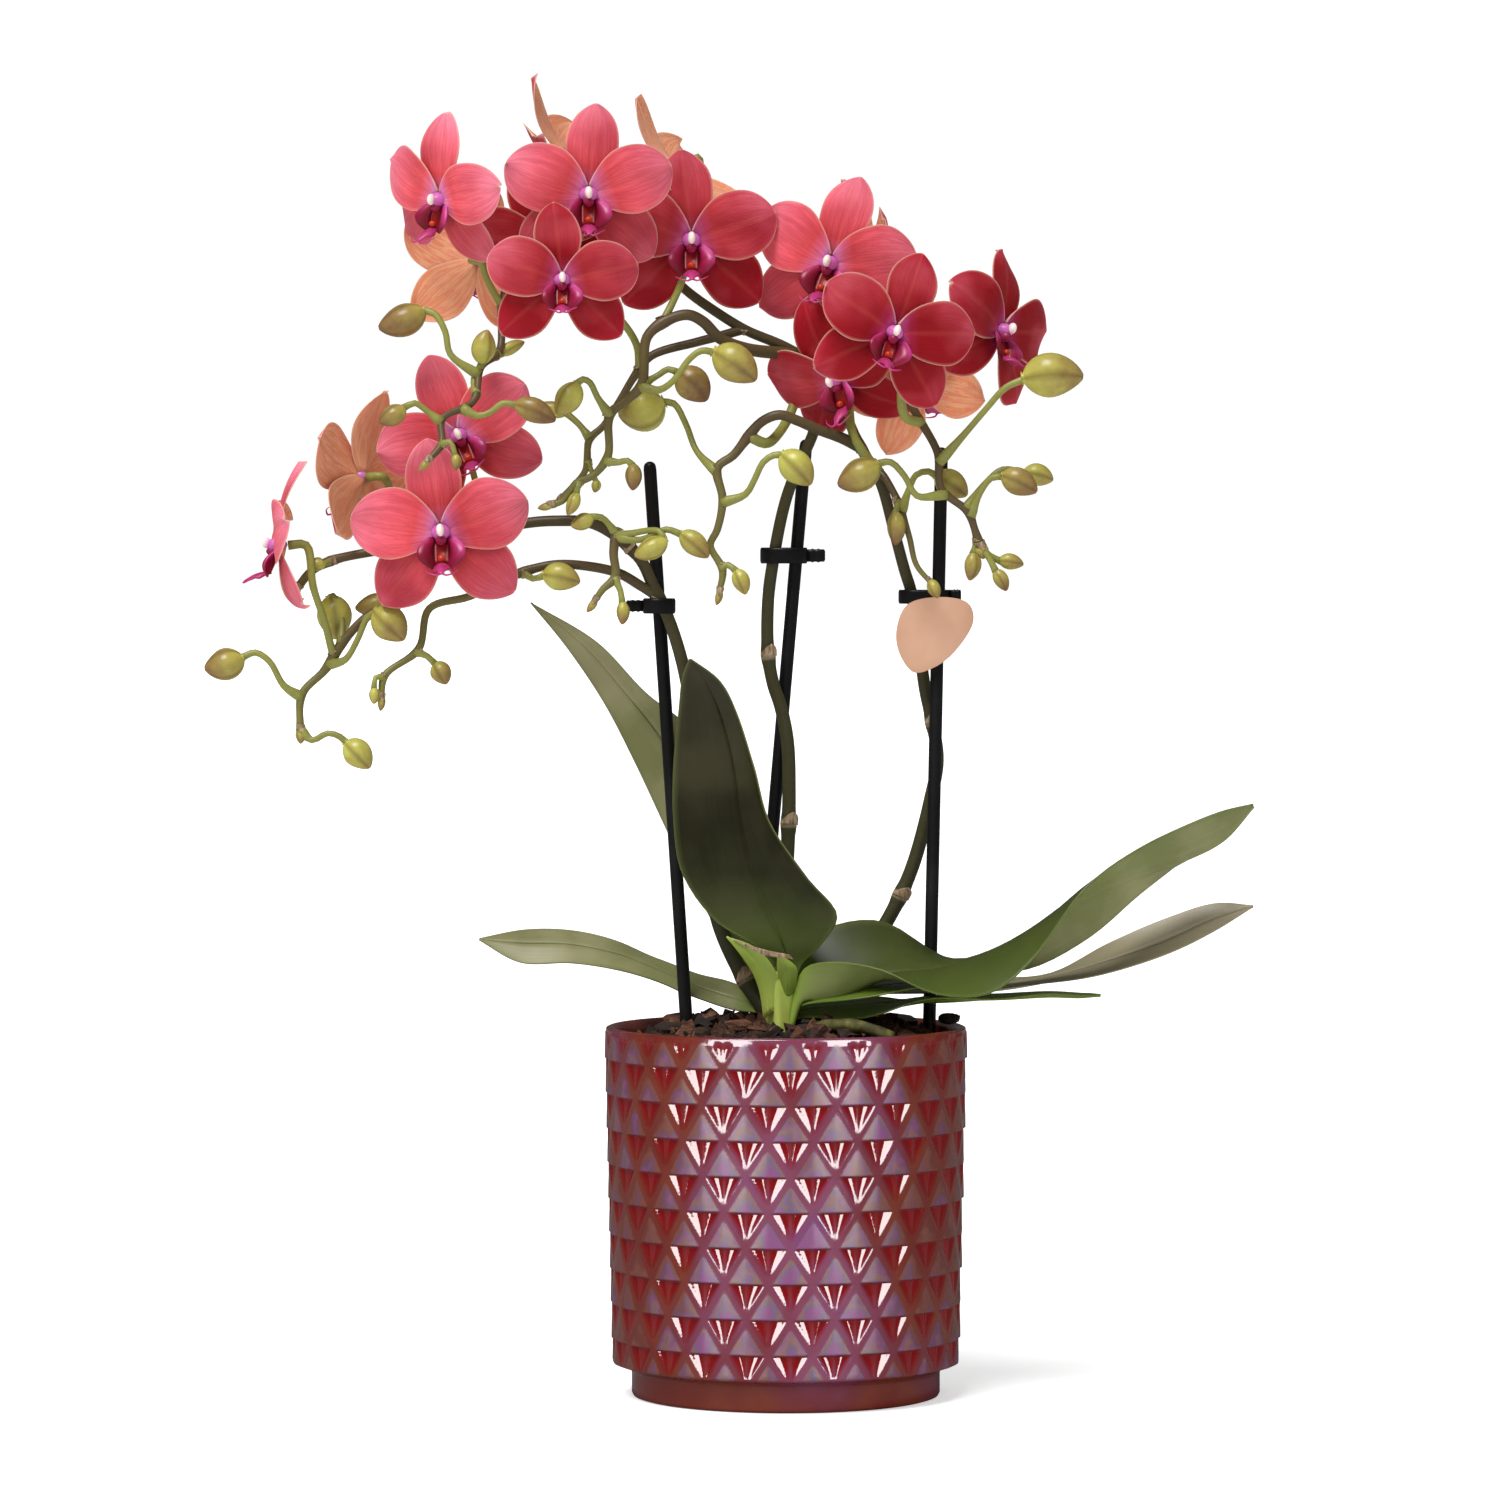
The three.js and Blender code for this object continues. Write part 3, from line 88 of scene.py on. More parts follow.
camera = put_in_scene("photo_camera", bpy.data.cameras.new("photo_camera"))
camera.data.lens = LENS
camera.data.sensor_width = SENSOR_WIDTH
camera.location = CAMERA_PLACE
drop = math.atan2(CAMERA_PLACE[2] - PICTURE_CENTRE[2], -CAMERA_PLACE[1])
camera.rotation_euler = (math.pi / 2 - drop, 0, 0)
bpy.context.scene.camera = camera
bpy.context.scene.view_settings.view_transform = "Standard"
print("camera looks down by", round(math.degrees(drop), 2), "degrees")

# %% [markdown]
# ## Where the stems, buds, flowers and leaves are
# These are the same places as in the CAD model: a route for each stem and branch, a stalk and
# an axis for each bud, a middle and a direction for each flower, and three lines for each
# leaf. A visual piece made from the same numbers stays where its CAD solid is.

# %% Places, in millimetres
# Stakes, each with its top and its point in the bark
STAKES = {
    "left_stake": ([-39, 10.5, 266.5], [-23.5, 10.5, 30]),
    "middle_stake": ([6, 20, 273], [-15, 20, 30]),
    "right_stake": ([44.5, 6.5, 270.5], [40.3, 6.5, 66]),
}
# Flower stems: the radius at the foot and at the end, and the route
STEMS = {
    "left_flower_stem": (2.3, 1.2, [[-4.5, 3, 107.5], [-11, 7, 117], [-18.5, 8.5, 132.5], [-23, 8, 152.5],
        [-25.5, 7, 175.5], [-27.5, 6.5, 198.5], [-30.5, 6, 212.5], [-34.5, 6, 224], [-37.5, 5.5, 230],
        [-41.5, 4, 238.5], [-49, 3, 245.5], [-56, 3, 249], [-64.5, 4, 249.5], [-73, 5, 249],
        [-87.5, 6, 246], [-102, 6, 242.5], [-119, 5, 240.5], [-130, 4, 238], [-135.5, 3, 235],
        [-139.5, 2, 230]]),
    "middle_flower_stem": (2.2, 0.9, [[-1.5, 5, 109], [-1, 9, 124], [-0.5, 12, 141], [0.5, 14, 153.5],
        [1, 15.5, 172], [0.5, 15.5, 186.5], [-1.5, 15.5, 196.5], [-3.5, 15.5, 202.5], [-5, 15.5, 211],
        [-5, 15.5, 227], [-3.5, 15.5, 238.5], [-1, 15.5, 251.5], [1, 15.5, 258.5], [4, 15.5, 266],
        [8, 15, 275], [10, 14, 285], [7, 12, 293], [1, 10, 298.5], [-11.5, 8, 304], [-20.5, 7, 309.5],
        [-27.5, 7, 314.5], [-36, 8, 322], [-46, 9, 328.5], [-59, 10, 331.5], [-70.5, 10, 328.5],
        [-78.5, 9, 320], [-81, 6, 310], [-81.5, 1, 298], [-86.5, -6, 293], [-88.5, -14, 283],
        [-97, -19, 278], [-97, -22, 271], [-101, -24, 266]]),
    "right_flower_stem": (2.2, 1.0, [[2.5, 4, 109], [14, 10, 116.5], [23, 13, 125], [28.5, 14, 133.5],
        [33, 14, 142], [37, 13.5, 152], [41.5, 12, 169.5], [43.5, 11, 181], [42, 11, 192], [40, 11, 201],
        [38, 11, 215.5], [36, 11, 229], [34, 10, 235.5], [31, 8, 246.5], [27, 6, 260.5], [22.5, 5, 268.5],
        [19, 6, 275.5], [16, 9, 285.5], [16.5, 10, 297], [20, 10, 306.5], [26.5, 8, 310], [32, 6, 304.5],
        [34, 1, 294], [35, -4, 283.5], [38, -6, 278], [43, -8, 268.5], [44, -9, 258.5], [51.5, -9, 252],
        [53.5, -8, 247], [55, -7, 242]]),
}
# Side branches, in the same way, each with the stem that it grew on
BRANCHES = {
    "left_branch_low": ("left_flower_stem", 1.5, 0.9, [[-37.5, 6, 227], [-41.5, 4, 231], [-47.5, 2, 234.5],
        [-56, 1, 236.5], [-66, 0, 237], [-76, 0, 234.5], [-90, 0, 228], [-101.5, -1, 224.5],
        [-104.5, -3, 213], [-114, -5, 205.5], [-115, -6, 199]]),
    "left_branch_hanging": ("left_flower_stem", 1.6, 1.0, [[-94.5, 6, 244], [-102, 8, 234],
        [-110.5, 7, 226], [-119, 5, 222.5], [-126, 4, 215.5], [-131.5, 3, 207], [-138, 2, 200],
        [-138.5, 1, 189.5]]),
    "left_side_twig": ("left_flower_stem", 1.6, 0.9, [[-44.5, 3, 242], [-48, -2, 245.5], [-49, -4, 240.5],
        [-48.5, -5, 233.5], [-52, -6, 230], [-54.5, -6, 226.5]]),
    "middle_branch_front": ("middle_flower_stem", 1.9, 0.9, [[3, 10, 297], [-11.5, 2, 298.5],
        [-19, 0, 301.5], [-23.5, -1, 306], [-28, -2, 308], [-34.5, -3, 306], [-39.5, -4, 301.5],
        [-41, -5, 288], [-45.5, -5, 283.5], [-50, -6, 279.5], [-50.5, -7, 268], [-54.5, -7, 262.5],
        [-59.5, -8, 260], [-63.5, -8, 255], [-67, -8, 254]]),
    "middle_branch_back": ("middle_flower_stem", 1.4, 0.8, [[-13.5, 3, 300], [-19.5, 6, 302],
        [-25.5, 7, 300.5], [-38.5, 6, 296.5], [-43, 5, 291], [-47.5, 4, 283.5], [-52, 2, 276.5],
        [-56, 1, 272.5], [-57, 0, 264], [-61, 0, 259], [-64.5, -1, 255.5]]),
    "right_branch_inner": ("right_flower_stem", 1.7, 0.9, [[23, 5, 271], [16, 1, 273], [9, -2, 275.5],
        [3, -4, 278], [-2, -5, 279.5], [-7, -5, 277.5], [-11, -5, 273], [-15, -5, 268], [-19.5, -5, 264.5],
        [-18, -6, 255.5], [-19.5, -6, 247], [-21.5, -6, 242.5], [-18, -7, 235.5], [-19, -7, 229]]),
    "right_branch_small": ("right_flower_stem", 1.1, 0.7, [[25, 5, 265], [28, 1, 262], [32, -2, 254.5],
        [35, -4, 245], [37, -5, 237], [41, -6, 232]]),
}
# Buds on each stem or branch: radius, base, tip, and the stalk from the stem to the base
BUDS = {
    "middle_flower_stem": [
        (4.6, [-103, -8, 309], [-115.5, -9, 304], [[-90.5, -8, 291], [-95, -10, 296.5], [-96.5, -10, 303],
         [-99.5, -9, 308]]),
        (3.5, [-86, -7, 294.5], [-84.5, -9, 303.5], [[-88.5, -12, 285], [-88.5, -8, 289.5]]),
        (1.9, [-81, 3, 297], [-74.5, 5, 300.5], [[-82.5, 0, 296]]),
        (3.0, [-108, -21, 281], [-114.5, -23, 277], [[-97.5, -19, 277], [-101.5, -20, 280.5],
         [-104.5, -21, 282.5]]),
        (3.5, [-76, -17, 282], [-65, -18, 277.5], [[-91, -16, 280], [-87, -17, 279], [-83.5, -17, 280],
         [-80, -17, 282.5]]),
        (1.5, [-93, -24, 267.5], [-93, -25, 263.5], [[-97, -22, 270.5], [-94.5, -24, 271.5]]),
    ],
    "middle_branch_front": [
        (5.4, [-20, -10, 297], [-8.5, -12, 289], [[-40, -5, 286.5], [-36, -8, 286.5], [-32, -10, 289],
         [-27.5, -11, 295], [-24, -11, 297.5]]),
        (4.9, [-30.5, -3, 291.5], [-22.5, -2, 283.5], [[-38, -4, 286.5], [-36, -3, 291],
         [-33.5, -3, 292.5]]),
        (3.8, [-59.5, -9, 288], [-65, -11, 279.5], [[-50.5, -6, 279.5], [-53.5, -8, 284.5],
         [-55.5, -9, 288.5], [-57.5, -9, 289.5]]),
        (2.4, [-43.5, -9, 265], [-43.5, -10, 258], [[-50.5, -7, 266], [-47.5, -8, 266], [-45, -9, 266.5]]),
        (1.9, [-59.5, -9, 257], [-62, -10, 251], [[-58.5, -8, 260]]),
    ],
    "middle_branch_back": [
        (2.3, [-63, 5, 280.5], [-70, 5, 283], [[-56, 1, 273], [-59, 3, 277]]),
        (1.4, [-54, -1, 260.5], [-54.5, -1, 257.5], [[-56.5, 0, 266.5]]),
    ],
    "right_branch_inner": [
        (6.4, [-35.5, 9, 283.5], [-48, 10, 280], [[-21, -4, 263], [-25.5, 1, 269.5], [-28.5, 5, 277],
         [-32, 8, 283]]),
        (4.6, [-1, -11, 268], [7, -12, 259.5], [[-15.5, -6, 254.5], [-11.5, -8, 257], [-9, -10, 261],
         [-6.5, -11, 266], [-3.5, -11, 268]]),
        (2.5, [-14, -9, 235], [-11.5, -10, 228.5], [[-18.5, -7, 236], [-16.5, -8, 237]]),
    ],
    "left_side_twig": [
        (3.3, [-29.5, -9, 245.5], [-22, -10, 239], [[-44.5, -5, 245], [-42, -6, 244], [-38.5, -8, 245],
         [-34, -9, 247]]),
        (3.2, [-34.5, -11, 244], [-43, -12, 239.5], [[-38.5, -8, 245], [-36, -10, 246.5]]),
        (2.4, [-55.5, -6, 250.5], [-61, -8, 248], [[-48.5, -2, 246], [-52.5, -5, 250.5]]),
        (1.9, [-46.5, -7, 226], [-46.5, -8, 220], [[-48.5, -5, 233], [-47, -6, 229.5]]),
    ],
    "left_branch_low": [
        (4.0, [-68.5, -3, 234], [-58.5, -5, 232], [[-74.5, 0, 234.5], [-72, -2, 233]]),
        (3.0, [-99.5, -4, 208.5], [-96.5, -5, 203], [[-105, -3, 212], [-102, -4, 211]]),
        (1.6, [-117, -7, 201.5], [-117, -8, 197.5], [[-114.5, -5, 205], [-116.5, -7, 205]]),
    ],
    "left_branch_hanging": [
        (4.6, [-155, -2, 210.5], [-165.5, -3, 207.5], [[-139, 2, 199.5], [-143, 0, 202.5],
         [-147, -2, 209.5], [-151, -2, 212]]),
        (5.0, [-116.5, -4, 223.5], [-108.5, -6, 215.5], [[-129.5, 3, 208], [-125.5, 0, 210],
         [-122, -2, 215.5], [-119, -3, 222]]),
        (5.0, [-130.5, 10, 227.5], [-129, 11, 215.5], [[-127, 4, 214.5], [-127, 7, 222], [-129.5, 9, 228]]),
        (3.3, [-114, 12, 227], [-123.5, 13, 224.5], [[-110, 7, 226.5], [-111.5, 10, 228]]),
        (4.0, [-125, -1, 186], [-118.5, -2, 179], [[-138.5, 1, 190], [-135, 0, 187], [-130.5, -1, 189],
         [-127, -1, 188]]),
    ],
    "left_flower_stem": [
        (2.0, [-132, 0, 237], [-135.5, -1, 238], [[-130, 4, 238]]),
    ],
    "right_flower_stem": [
        (6.3, [67.5, -13, 289.5], [84, -15, 290], [[45, -8, 266], [50.5, -11, 274], [56.5, -12, 281],
         [62, -13, 287]]),
        (3.9, [61.5, -11, 262], [71, -12, 257.5], [[53.5, -9, 251.5], [55, -10, 257.5], [58, -11, 261.5]]),
        (3.2, [68, -3, 263], [76, -2, 261], [[51.5, -7, 253.5], [56.5, -5, 260], [61.5, -4, 264]]),
        (2.4, [53, -7, 240], [52, -7, 232.5], [[54, -8, 244]]),
        (2.1, [59.5, -8, 235], [62.5, -8, 229.5], [[55, -7, 242], [57.5, -8, 239]]),
        (2.3, [61, -5, 238], [67.5, -5, 237], [[55.5, -7, 242], [58, -6, 239.5]]),
        (4.7, [25.5, -12, 265.5], [14.5, -13, 259.5], [[44, -9, 255.5], [37, -12, 256.5], [33.5, -13, 262],
         [29.5, -13, 266]]),
    ],
    "right_branch_small": [
        (2.7, [31, -5, 251.5], [31, -6, 242.5], [[32, -2, 254.5]]),
        (1.9, [41, -6, 232], [43, -8, 227.5], []),
        (4.0, [43, -1.5, 262], [51.5, -2.5, 256.5], [[34, -2, 252.5], [35, -3, 258.5], [37, -3, 262.5],
         [40.5, -2, 263.5]]),
    ],
}
# Flowers: what each grew on, its middle, how far it is turned, nods and is rolled in degrees, its
# span, the radius of its stalk, its depth of red from 0, coral pink, to 1, partly its own red and
# partly painted shade, and its stalk
FLOWERS = [
    ("middle_flower_stem", [-97, -4, 341], -43, -14, -10, 45, 1.1, 0.05, [[-81, 6, 310.5], [-85.5, 5, 319],
     [-88, 2, 328], [-92.5, -1, 334.5]]),
    ("middle_flower_stem", [-56, -10, 341.5], 3, -3, 0, 49, 1.1, 0.25, [[-52.5, 9, 330], [-52, 4, 335.5],
     [-54.5, -6, 340]]),
    ("middle_branch_back", [-63, -26, 316.5], 3, 4, 0, 43, 1.2, 0.8, [[-41.5, 6, 292.5], [-42.5, 2, 299.5],
     [-48.5, -6, 308], [-57, -16, 313], [-61.5, -22, 315.5]]),
    ("middle_branch_front", [-27, 2, 329], 2, 0, 0, 50, 1.2, 0.65, [[-35.5, -3, 306], [-32.5, -1, 311],
     [-29.5, 0.5, 318], [-27.5, 3.5, 324], [-27, 4, 327]]),
    ("middle_flower_stem", [-62, 18, 354.5], -110, -32, -15, 46, 1.1, 0.5, [[-55.5, 10, 331],
     [-53.5, 18, 340.5], [-55, 20, 350], [-58, 19, 354]]),
    ("middle_flower_stem", [-29.5, 20, 350], -110, -40, -15, 46, 1.1, 0.3, [[-33.5, 8, 320], [-26, 18, 332],
     [-24.5, 22, 343.5], [-27, 21, 349.5]]),
    ("middle_flower_stem", [-68.5, 4, 329.5], -10, 0, 20, 44, 1.1, 0.95, [[-76, 9, 323], [-73, 12, 326.5],
     [-69.5, 9, 329.5]]),
    ("middle_flower_stem", [-88.5, 18, 324], 165, 0, 7, 46, 1.1, 0.5, [[-78.5, 9, 319], [-82.5, 8, 322],
     [-86.5, 12, 323.5]]),
    ("left_flower_stem", [-93, 2, 273.5], 0, 0, 23, 47, 1.1, 0.2, [[-89, 6, 246], [-88, 10, 255.5],
     [-90.5, 10, 267], [-92.5, 6, 272.5]]),
    ("left_flower_stem", [-97.5, -14, 246], 0, 0, 3, 51, 1.2, 0.25, [[-94.5, 6, 244.5], [-96, 0, 242],
     [-97, -8, 244]]),
    ("left_flower_stem", [-120, 6, 262], -126, 0, 4, 47, 1.2, 0.4, [[-111, 6, 241.5], [-110, 12, 250],
     [-113, 11.5, 258], [-117, 9, 261.5]]),
    ("left_branch_hanging", [-142.5, -2, 242.5], -84, 0, 0, 45, 1.2, 0.1, [[-129.5, 3, 211],
     [-131.5, 0, 221], [-134.5, -3, 231], [-138, -4, 238.5], [-141.5, -3, 241.5]]),
    ("right_branch_inner", [13, 2, 322.5], -16, 0, -13, 49, 1.6, 0.25, [[-10.5, -5, 273.5], [-6, -4, 271.5],
     [-2, 3, 274.5], [2, 11, 282], [5, 15, 293], [8.5, 14, 306], [12, 11, 316]]),
    ("right_flower_stem", [30, -24, 302], 8, 0, -20, 46, 1.5, 1.0, [[36.5, -6, 276], [33.5, -12, 279],
     [32.5, -15, 285], [33.5, -17, 292], [32, -19, 298]]),
    ("right_flower_stem", [60, 4, 303.5], 50, 0, -20, 47, 1.1, 0.95, [[33.5, 4, 300], [41, 8, 295],
     [50.5, 10, 298], [56.5, 7, 302]]),
    ("right_branch_small", [15, 2, 290.5], -30, -25, 15, 45, 1.5, 0.95, [[27, 2, 264], [22, 1, 269],
     [19, 2, 274.5], [18, 6, 282.5], [16.5, 5, 287.5]]),
    ("right_flower_stem", [37, 14, 289], 165, 0, -27, 42, 1.1, 0.6, [[34, 1, 295], [37, 4, 292],
     [37.5, 10, 288]]),
    ("right_flower_stem", [22, 22, 323.5], 110, 0, -7, 46, 1.1, 0.9, [[21, 10, 307.5], [18.5, 12, 313.5],
     [15.5, 16, 320]]),
]
# Leaves: how brown each is at its foot and its tip, how much yellow green is mixed in there,
# partly the leaf's own green and partly painted light on the lit leaves, and its near edge,
# midrib and far edge at each station. The first station of four of them is the foot that
# clasps the crown, and the big right leaf starts as a deep channel with a low keel
LEAVES = {
    "leaf_front_upright": ((-0.1, 0.1), (0.7, -0.9), [[[-4.5, -9, 111], [-1.5, -12, 111], [2, -10, 111]],
        [[-3, -12, 123.5], [0.5, -12, 123], [4, -12, 123]],
        [[-9.5, -16, 129.5], [-1, -13, 129.5], [10, -15, 129.5]],
        [[-20, -15, 136.5], [-5, -11, 138], [14.5, -17, 138]],
        [[-29.5, -12, 150], [-9.5, -8, 150.5], [5.5, -16, 149]],
        [[-32, -9, 164], [-13, -6, 164.5], [-5, -13, 164]], [[-32, -6, 180], [-15, -4, 180], [-9, -9, 180]],
        [[-30.5, -4, 195.5], [-19, -2, 195.5], [-14, -5, 195]],
        [[-29.5, -2, 205], [-23, -1, 204], [-19, -3, 204]], [[-27.5, 0, 210.5]]]),
    "leaf_back_upright": ((0.0, 0.15), (0.0, 0.0), [[[-5, 9, 112.5], [-3.5, 9, 112.5], [-1.5, 9, 113]],
        [[-16.5, 13, 126.5], [-11, 13.5, 132], [-6, 13, 139.5]],
        [[-30, 14.5, 152], [-21, 16, 160.5], [-13.5, 16, 169.5]],
        [[-43, 15, 179.5], [-35.5, 17, 186.5], [-27.5, 17, 190]],
        [[-53, 17.5, 198.5], [-47, 19, 201], [-40.5, 19, 200.5]],
        [[-62.5, 20, 212.5], [-58.5, 21, 214], [-54, 21, 214.5]], [[-74, 23, 226.5]]]),
    "leaf_low_left": ((0.0, 0.15), (0.0, 0.0), [[[-5.5, 2, 109], [-5, 6, 110], [-5, 9, 112.5]],
        [[-16, 11, 109.5], [-16.5, 15, 112.5], [-16.5, 20, 117]],
        [[-27, 14, 113], [-27.5, 19, 116], [-26.5, 24, 119]],
        [[-34.5, 15, 116.5], [-36, 20, 119.5], [-37, 26, 123]],
        [[-47.5, 16, 120], [-47.5, 21, 124], [-48, 27, 128]],
        [[-62, 17, 122.5], [-62, 22, 127], [-62.5, 27, 131]],
        [[-76.5, 18, 122.5], [-76.5, 22, 127.5], [-75, 26, 131.5]], [[-89, 22, 129]]]),
    "leaf_big_right": ((-0.2, 0.08), (0.8, 0.1), [[[1.5, -12, 112], [1, -13, 105], [2.5, -5, 111]],
        [[5, -13.4, 122.4], [4.5, -13.5, 114], [2.5, -4, 127.5]],
        [[13.5, -19, 125], [14, -15.5, 114.5], [13.5, -1, 134]],
        [[26, -25, 123.2], [28, -12, 120.5], [27.6, 2.6, 135]],
        [[41.6, -28, 116.3], [43.4, -10.3, 122.2], [43.2, 3.4, 126.2]],
        [[56.6, -27, 116.4], [58, -9.3, 127], [57.8, 4.2, 120.9]],
        [[68.5, -22.4, 125.2], [70.7, -6.3, 134], [70.2, 3.6, 121.6]],
        [[84.5, -17, 145.5], [83.5, -4, 142], [87, 4, 130.5]],
        [[100.5, -10, 156.5], [98.5, -2, 148.5], [101.5, 8, 143]],
        [[115, -5, 163.5], [113.5, 0, 153.5], [114.5, 9, 153]],
        [[124.5, -2, 167], [124.5, 1, 159], [124.5, 6, 160.5]], [[134, 1, 169]]]),
    "leaf_far_right": ((0.5, 1.0), (0.2, 0.1), [[[4, -1, 113.5], [5, 2, 115], [5, 5, 116.5]],
        [[26.5, -3, 115], [27, 4, 116.5], [27, 12, 121.5]],
        [[52.5, -4, 115.5], [52.5, 6, 115.5], [53, 14, 119]],
        [[73, 1, 117.5], [73, 9, 118], [75.5, 16, 119.5]],
        [[92.5, 6, 120.5], [93, 11, 123], [93.5, 17, 128]],
        [[108.5, 8, 125], [109, 13, 128.5], [109, 18, 135]],
        [[123, 11, 132], [123, 14, 135], [123.5, 17, 139.5]], [[135, 15, 139]]]),
    "leaf_lowest_right": ((0.0, 0.15), (1.4, 0.8), [[[-2, -8, 103], [0, -5, 104], [1, -2, 105]],
        [[2.5, -10, 108], [2.5, -6.5, 109], [2.5, -3, 110.5]],
        [[23, -18, 109], [25, -11, 111.5], [24, -4, 114]],
        [[41, -20, 114.5], [41, -9, 114], [41, -2, 112.5]],
        [[60.5, -17, 114.5], [61, -7, 114.5], [61, -1, 113]],
        [[75, -10, 115], [75, -4, 115], [75.5, 2, 114.5]],
        [[85, -6, 114.5], [84, -1.5, 114.5], [84, 3, 114.5]], [[90, -2, 114.5]]]),
    "leaf_short_right": ((0.0, 0.15), (1.4, 1.0), [[[-2, -9, 105], [0, -7, 106], [1, -4, 107]],
        [[2, -12, 111], [2, -9, 112.5], [2, -5, 114]], [[16.5, -21, 114], [18, -14, 116], [18, -6, 118]],
        [[32, -22, 117], [32, -12, 117.5], [32.5, -4, 118.5]],
        [[43.5, -16, 117.5], [43.5, -8, 118], [44, -2, 119]], [[56.5, -6, 119]]]),
}
FOLDED_YOUNG_LEAF = [[[-1.2, -11.5, 115], [0.4, -12.8, 115], [2, -11.5, 115]],
    [[-1.8, -12.6, 118.5], [0.6, -14.4, 118.5], [2.8, -12.8, 118.8]],
    [[-2.4, -13.6, 122.5], [0, -15.4, 122.8], [2.8, -14, 123]], [[-2.4, -15.2, 127]]]
# the clasping base of the front leaf, which leaves the crown to the left
LEFT_ARM = [[[-6.2, -9, 108], [-4.4, -12.3, 110], [-1, -11.6, 112]],
    [[-7.4, -11.5, 116], [-5.4, -13.8, 117.5], [-2, -13, 119]],
    [[-9.4, -13.6, 121.5], [-7.4, -15.4, 123], [-4.6, -14.6, 124.5]],
    [[-13, -16, 127], [-11.4, -17, 128.2], [-9, -16.6, 129]], [[-17, -16.8, 132]]]
DRY_SHEATH = [[[2.5, -17.6, 125], [1.5, -17.9, 126.2], [0.5, -17.8, 127.5]],
    [[-6, -18.4, 126], [-6, -18.7, 127.6], [-6, -18.4, 129]], [[-15, -17.8, 131]]]
# Loose bark chips on top of the bed: middle, size, spin and tilt in degrees
CHIPS = [
    ([-33, -8, 104.5], [9, 7, 5], 20, 12),
    ([-24, -22, 104.2], [10, 6, 5], 75, -10),
    ([-16, -30, 103.6], [7, 6, 4], 140, 15),
    ([-14, -14, 106.2], [9, 5, 4], 10, -8),
    ([-30, 22, 105], [11, 8, 5], 50, 10),
    ([12, 30, 105.2], [12, 8, 5], 110, -12),
    ([33, 24, 104.4], [10, 7, 5], 25, 8),
    ([46.5, -2, 107.6], [11, 6, 3], 95, -4),
]
# Clips: the middle and size of the band, and of its tab
CLIPS = {
    "left_clip": ([-36.2, 8.1, 225.2], [9.4, 11.4, 4.4], [-43, 9.5, 225.2], [5.4, 2.4, 3.2]),
    "middle_clip": ([-0.5, 17.6, 239.6], [13.6, 11.2, 4.6], [8.6, 20, 239.6], [5.6, 2.6, 3.6]),
    "right_clip": ([40, 8.9, 227.8], [15.6, 11.4, 4], [48.6, 6.5, 228.2], [3, 2.6, 3.2]),
}
AERIAL_ROOT = (2.3, 1.6, [[5, -17, 104], [12, -25, 107], [20, -30, 107.5], [30, -32, 104.5]])
TAG_FRONT = 2.4
TAG_OUTLINE = [[31.5, 218], [34.5, 225.5], [43.5, 227.8], [52, 226], [53.5, 221], [48, 212], [42, 207.5],
    [36.5, 206.3], [32.5, 211.5]]
print("flowers placed:", len(FLOWERS))

# %% [markdown]
# ## Meshes from rows of points
# Almost everything here is either a tube (stems, stalks, buds, stakes) or a thin blade
# (leaves, petals, scales). A tube is a loft: rings of points joined by four-sided faces, and
# closed at both ends. A blade is a grid of points that gets a front, a back and a rim. Both
# come out as closed shells. Plain lists of points keep full control over the density, which
# a curve object with a bevel doesn't give, and each point can carry painted values, such as
# how far along the petal it lies, which the materials read later.

# %% A collector for points, faces and painted values
MM = 0.001


class Shells:
    """The closed shells that make one piece, with values painted on their points."""

    def __init__(self):
        self.points = []
        self.faces = []
        self.finishes = []
        self.painted = {}
        self.count = 0

    def add(self, points, faces, finish=0, **values):
        """Takes in one shell. A value for half of its points is painted on both sides of a blade."""
        points = np.asarray(points, float).reshape(-1, 3)
        self.faces += [[index + self.count for index in face] for face in faces]
        self.finishes += [finish] * len(faces)
        for name, value in values.items():
            value = np.ravel(value).astype(float)
            if 2 * len(value) == len(points):
                value = np.tile(value, 2)
            self.painted.setdefault(name, []).append((slice(self.count, self.count + len(points)), value))
        self.points.append(points)
        self.count += len(points)

    def mesh(self, name):
        """The shells as a bare mesh, in metres."""
        mesh = bpy.data.meshes.new(name)
        mesh.from_pydata((np.vstack(self.points) * MM).tolist(), [], self.faces)
        return mesh

    def piece(self, name, finishes, node, smooth=True):
        """Makes the finished mesh object, with its faces turned outwards."""
        mesh = self.mesh(name)
        for finish in finishes:
            mesh.materials.append(finish)
        mesh.polygons.foreach_set("material_index", self.finishes)
        for value_name, parts in self.painted.items():
            values = np.zeros(self.count)
            for where, part in parts:
                values[where] = part
            mesh.attributes.new(value_name, "FLOAT", "POINT").data.foreach_set("value", values)
        shell = bmesh.new()
        shell.from_mesh(mesh)
        bmesh.ops.recalc_face_normals(shell, faces=shell.faces)
        shell.to_mesh(mesh)
        shell.free()
        return tie_to_frame(name, mesh, node, smooth)


def tie_to_frame(name, mesh, node, smooth=True):
    """A mesh as a piece that stands for a CAD node and takes its finish from a slot."""
    mesh.polygons.foreach_set("use_smooth", [smooth] * len(mesh.polygons))
    made = put_in_scene(name, mesh)
    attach(made, "root")
    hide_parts(node)
    print(name, len(mesh.polygons), "faces")
    return made


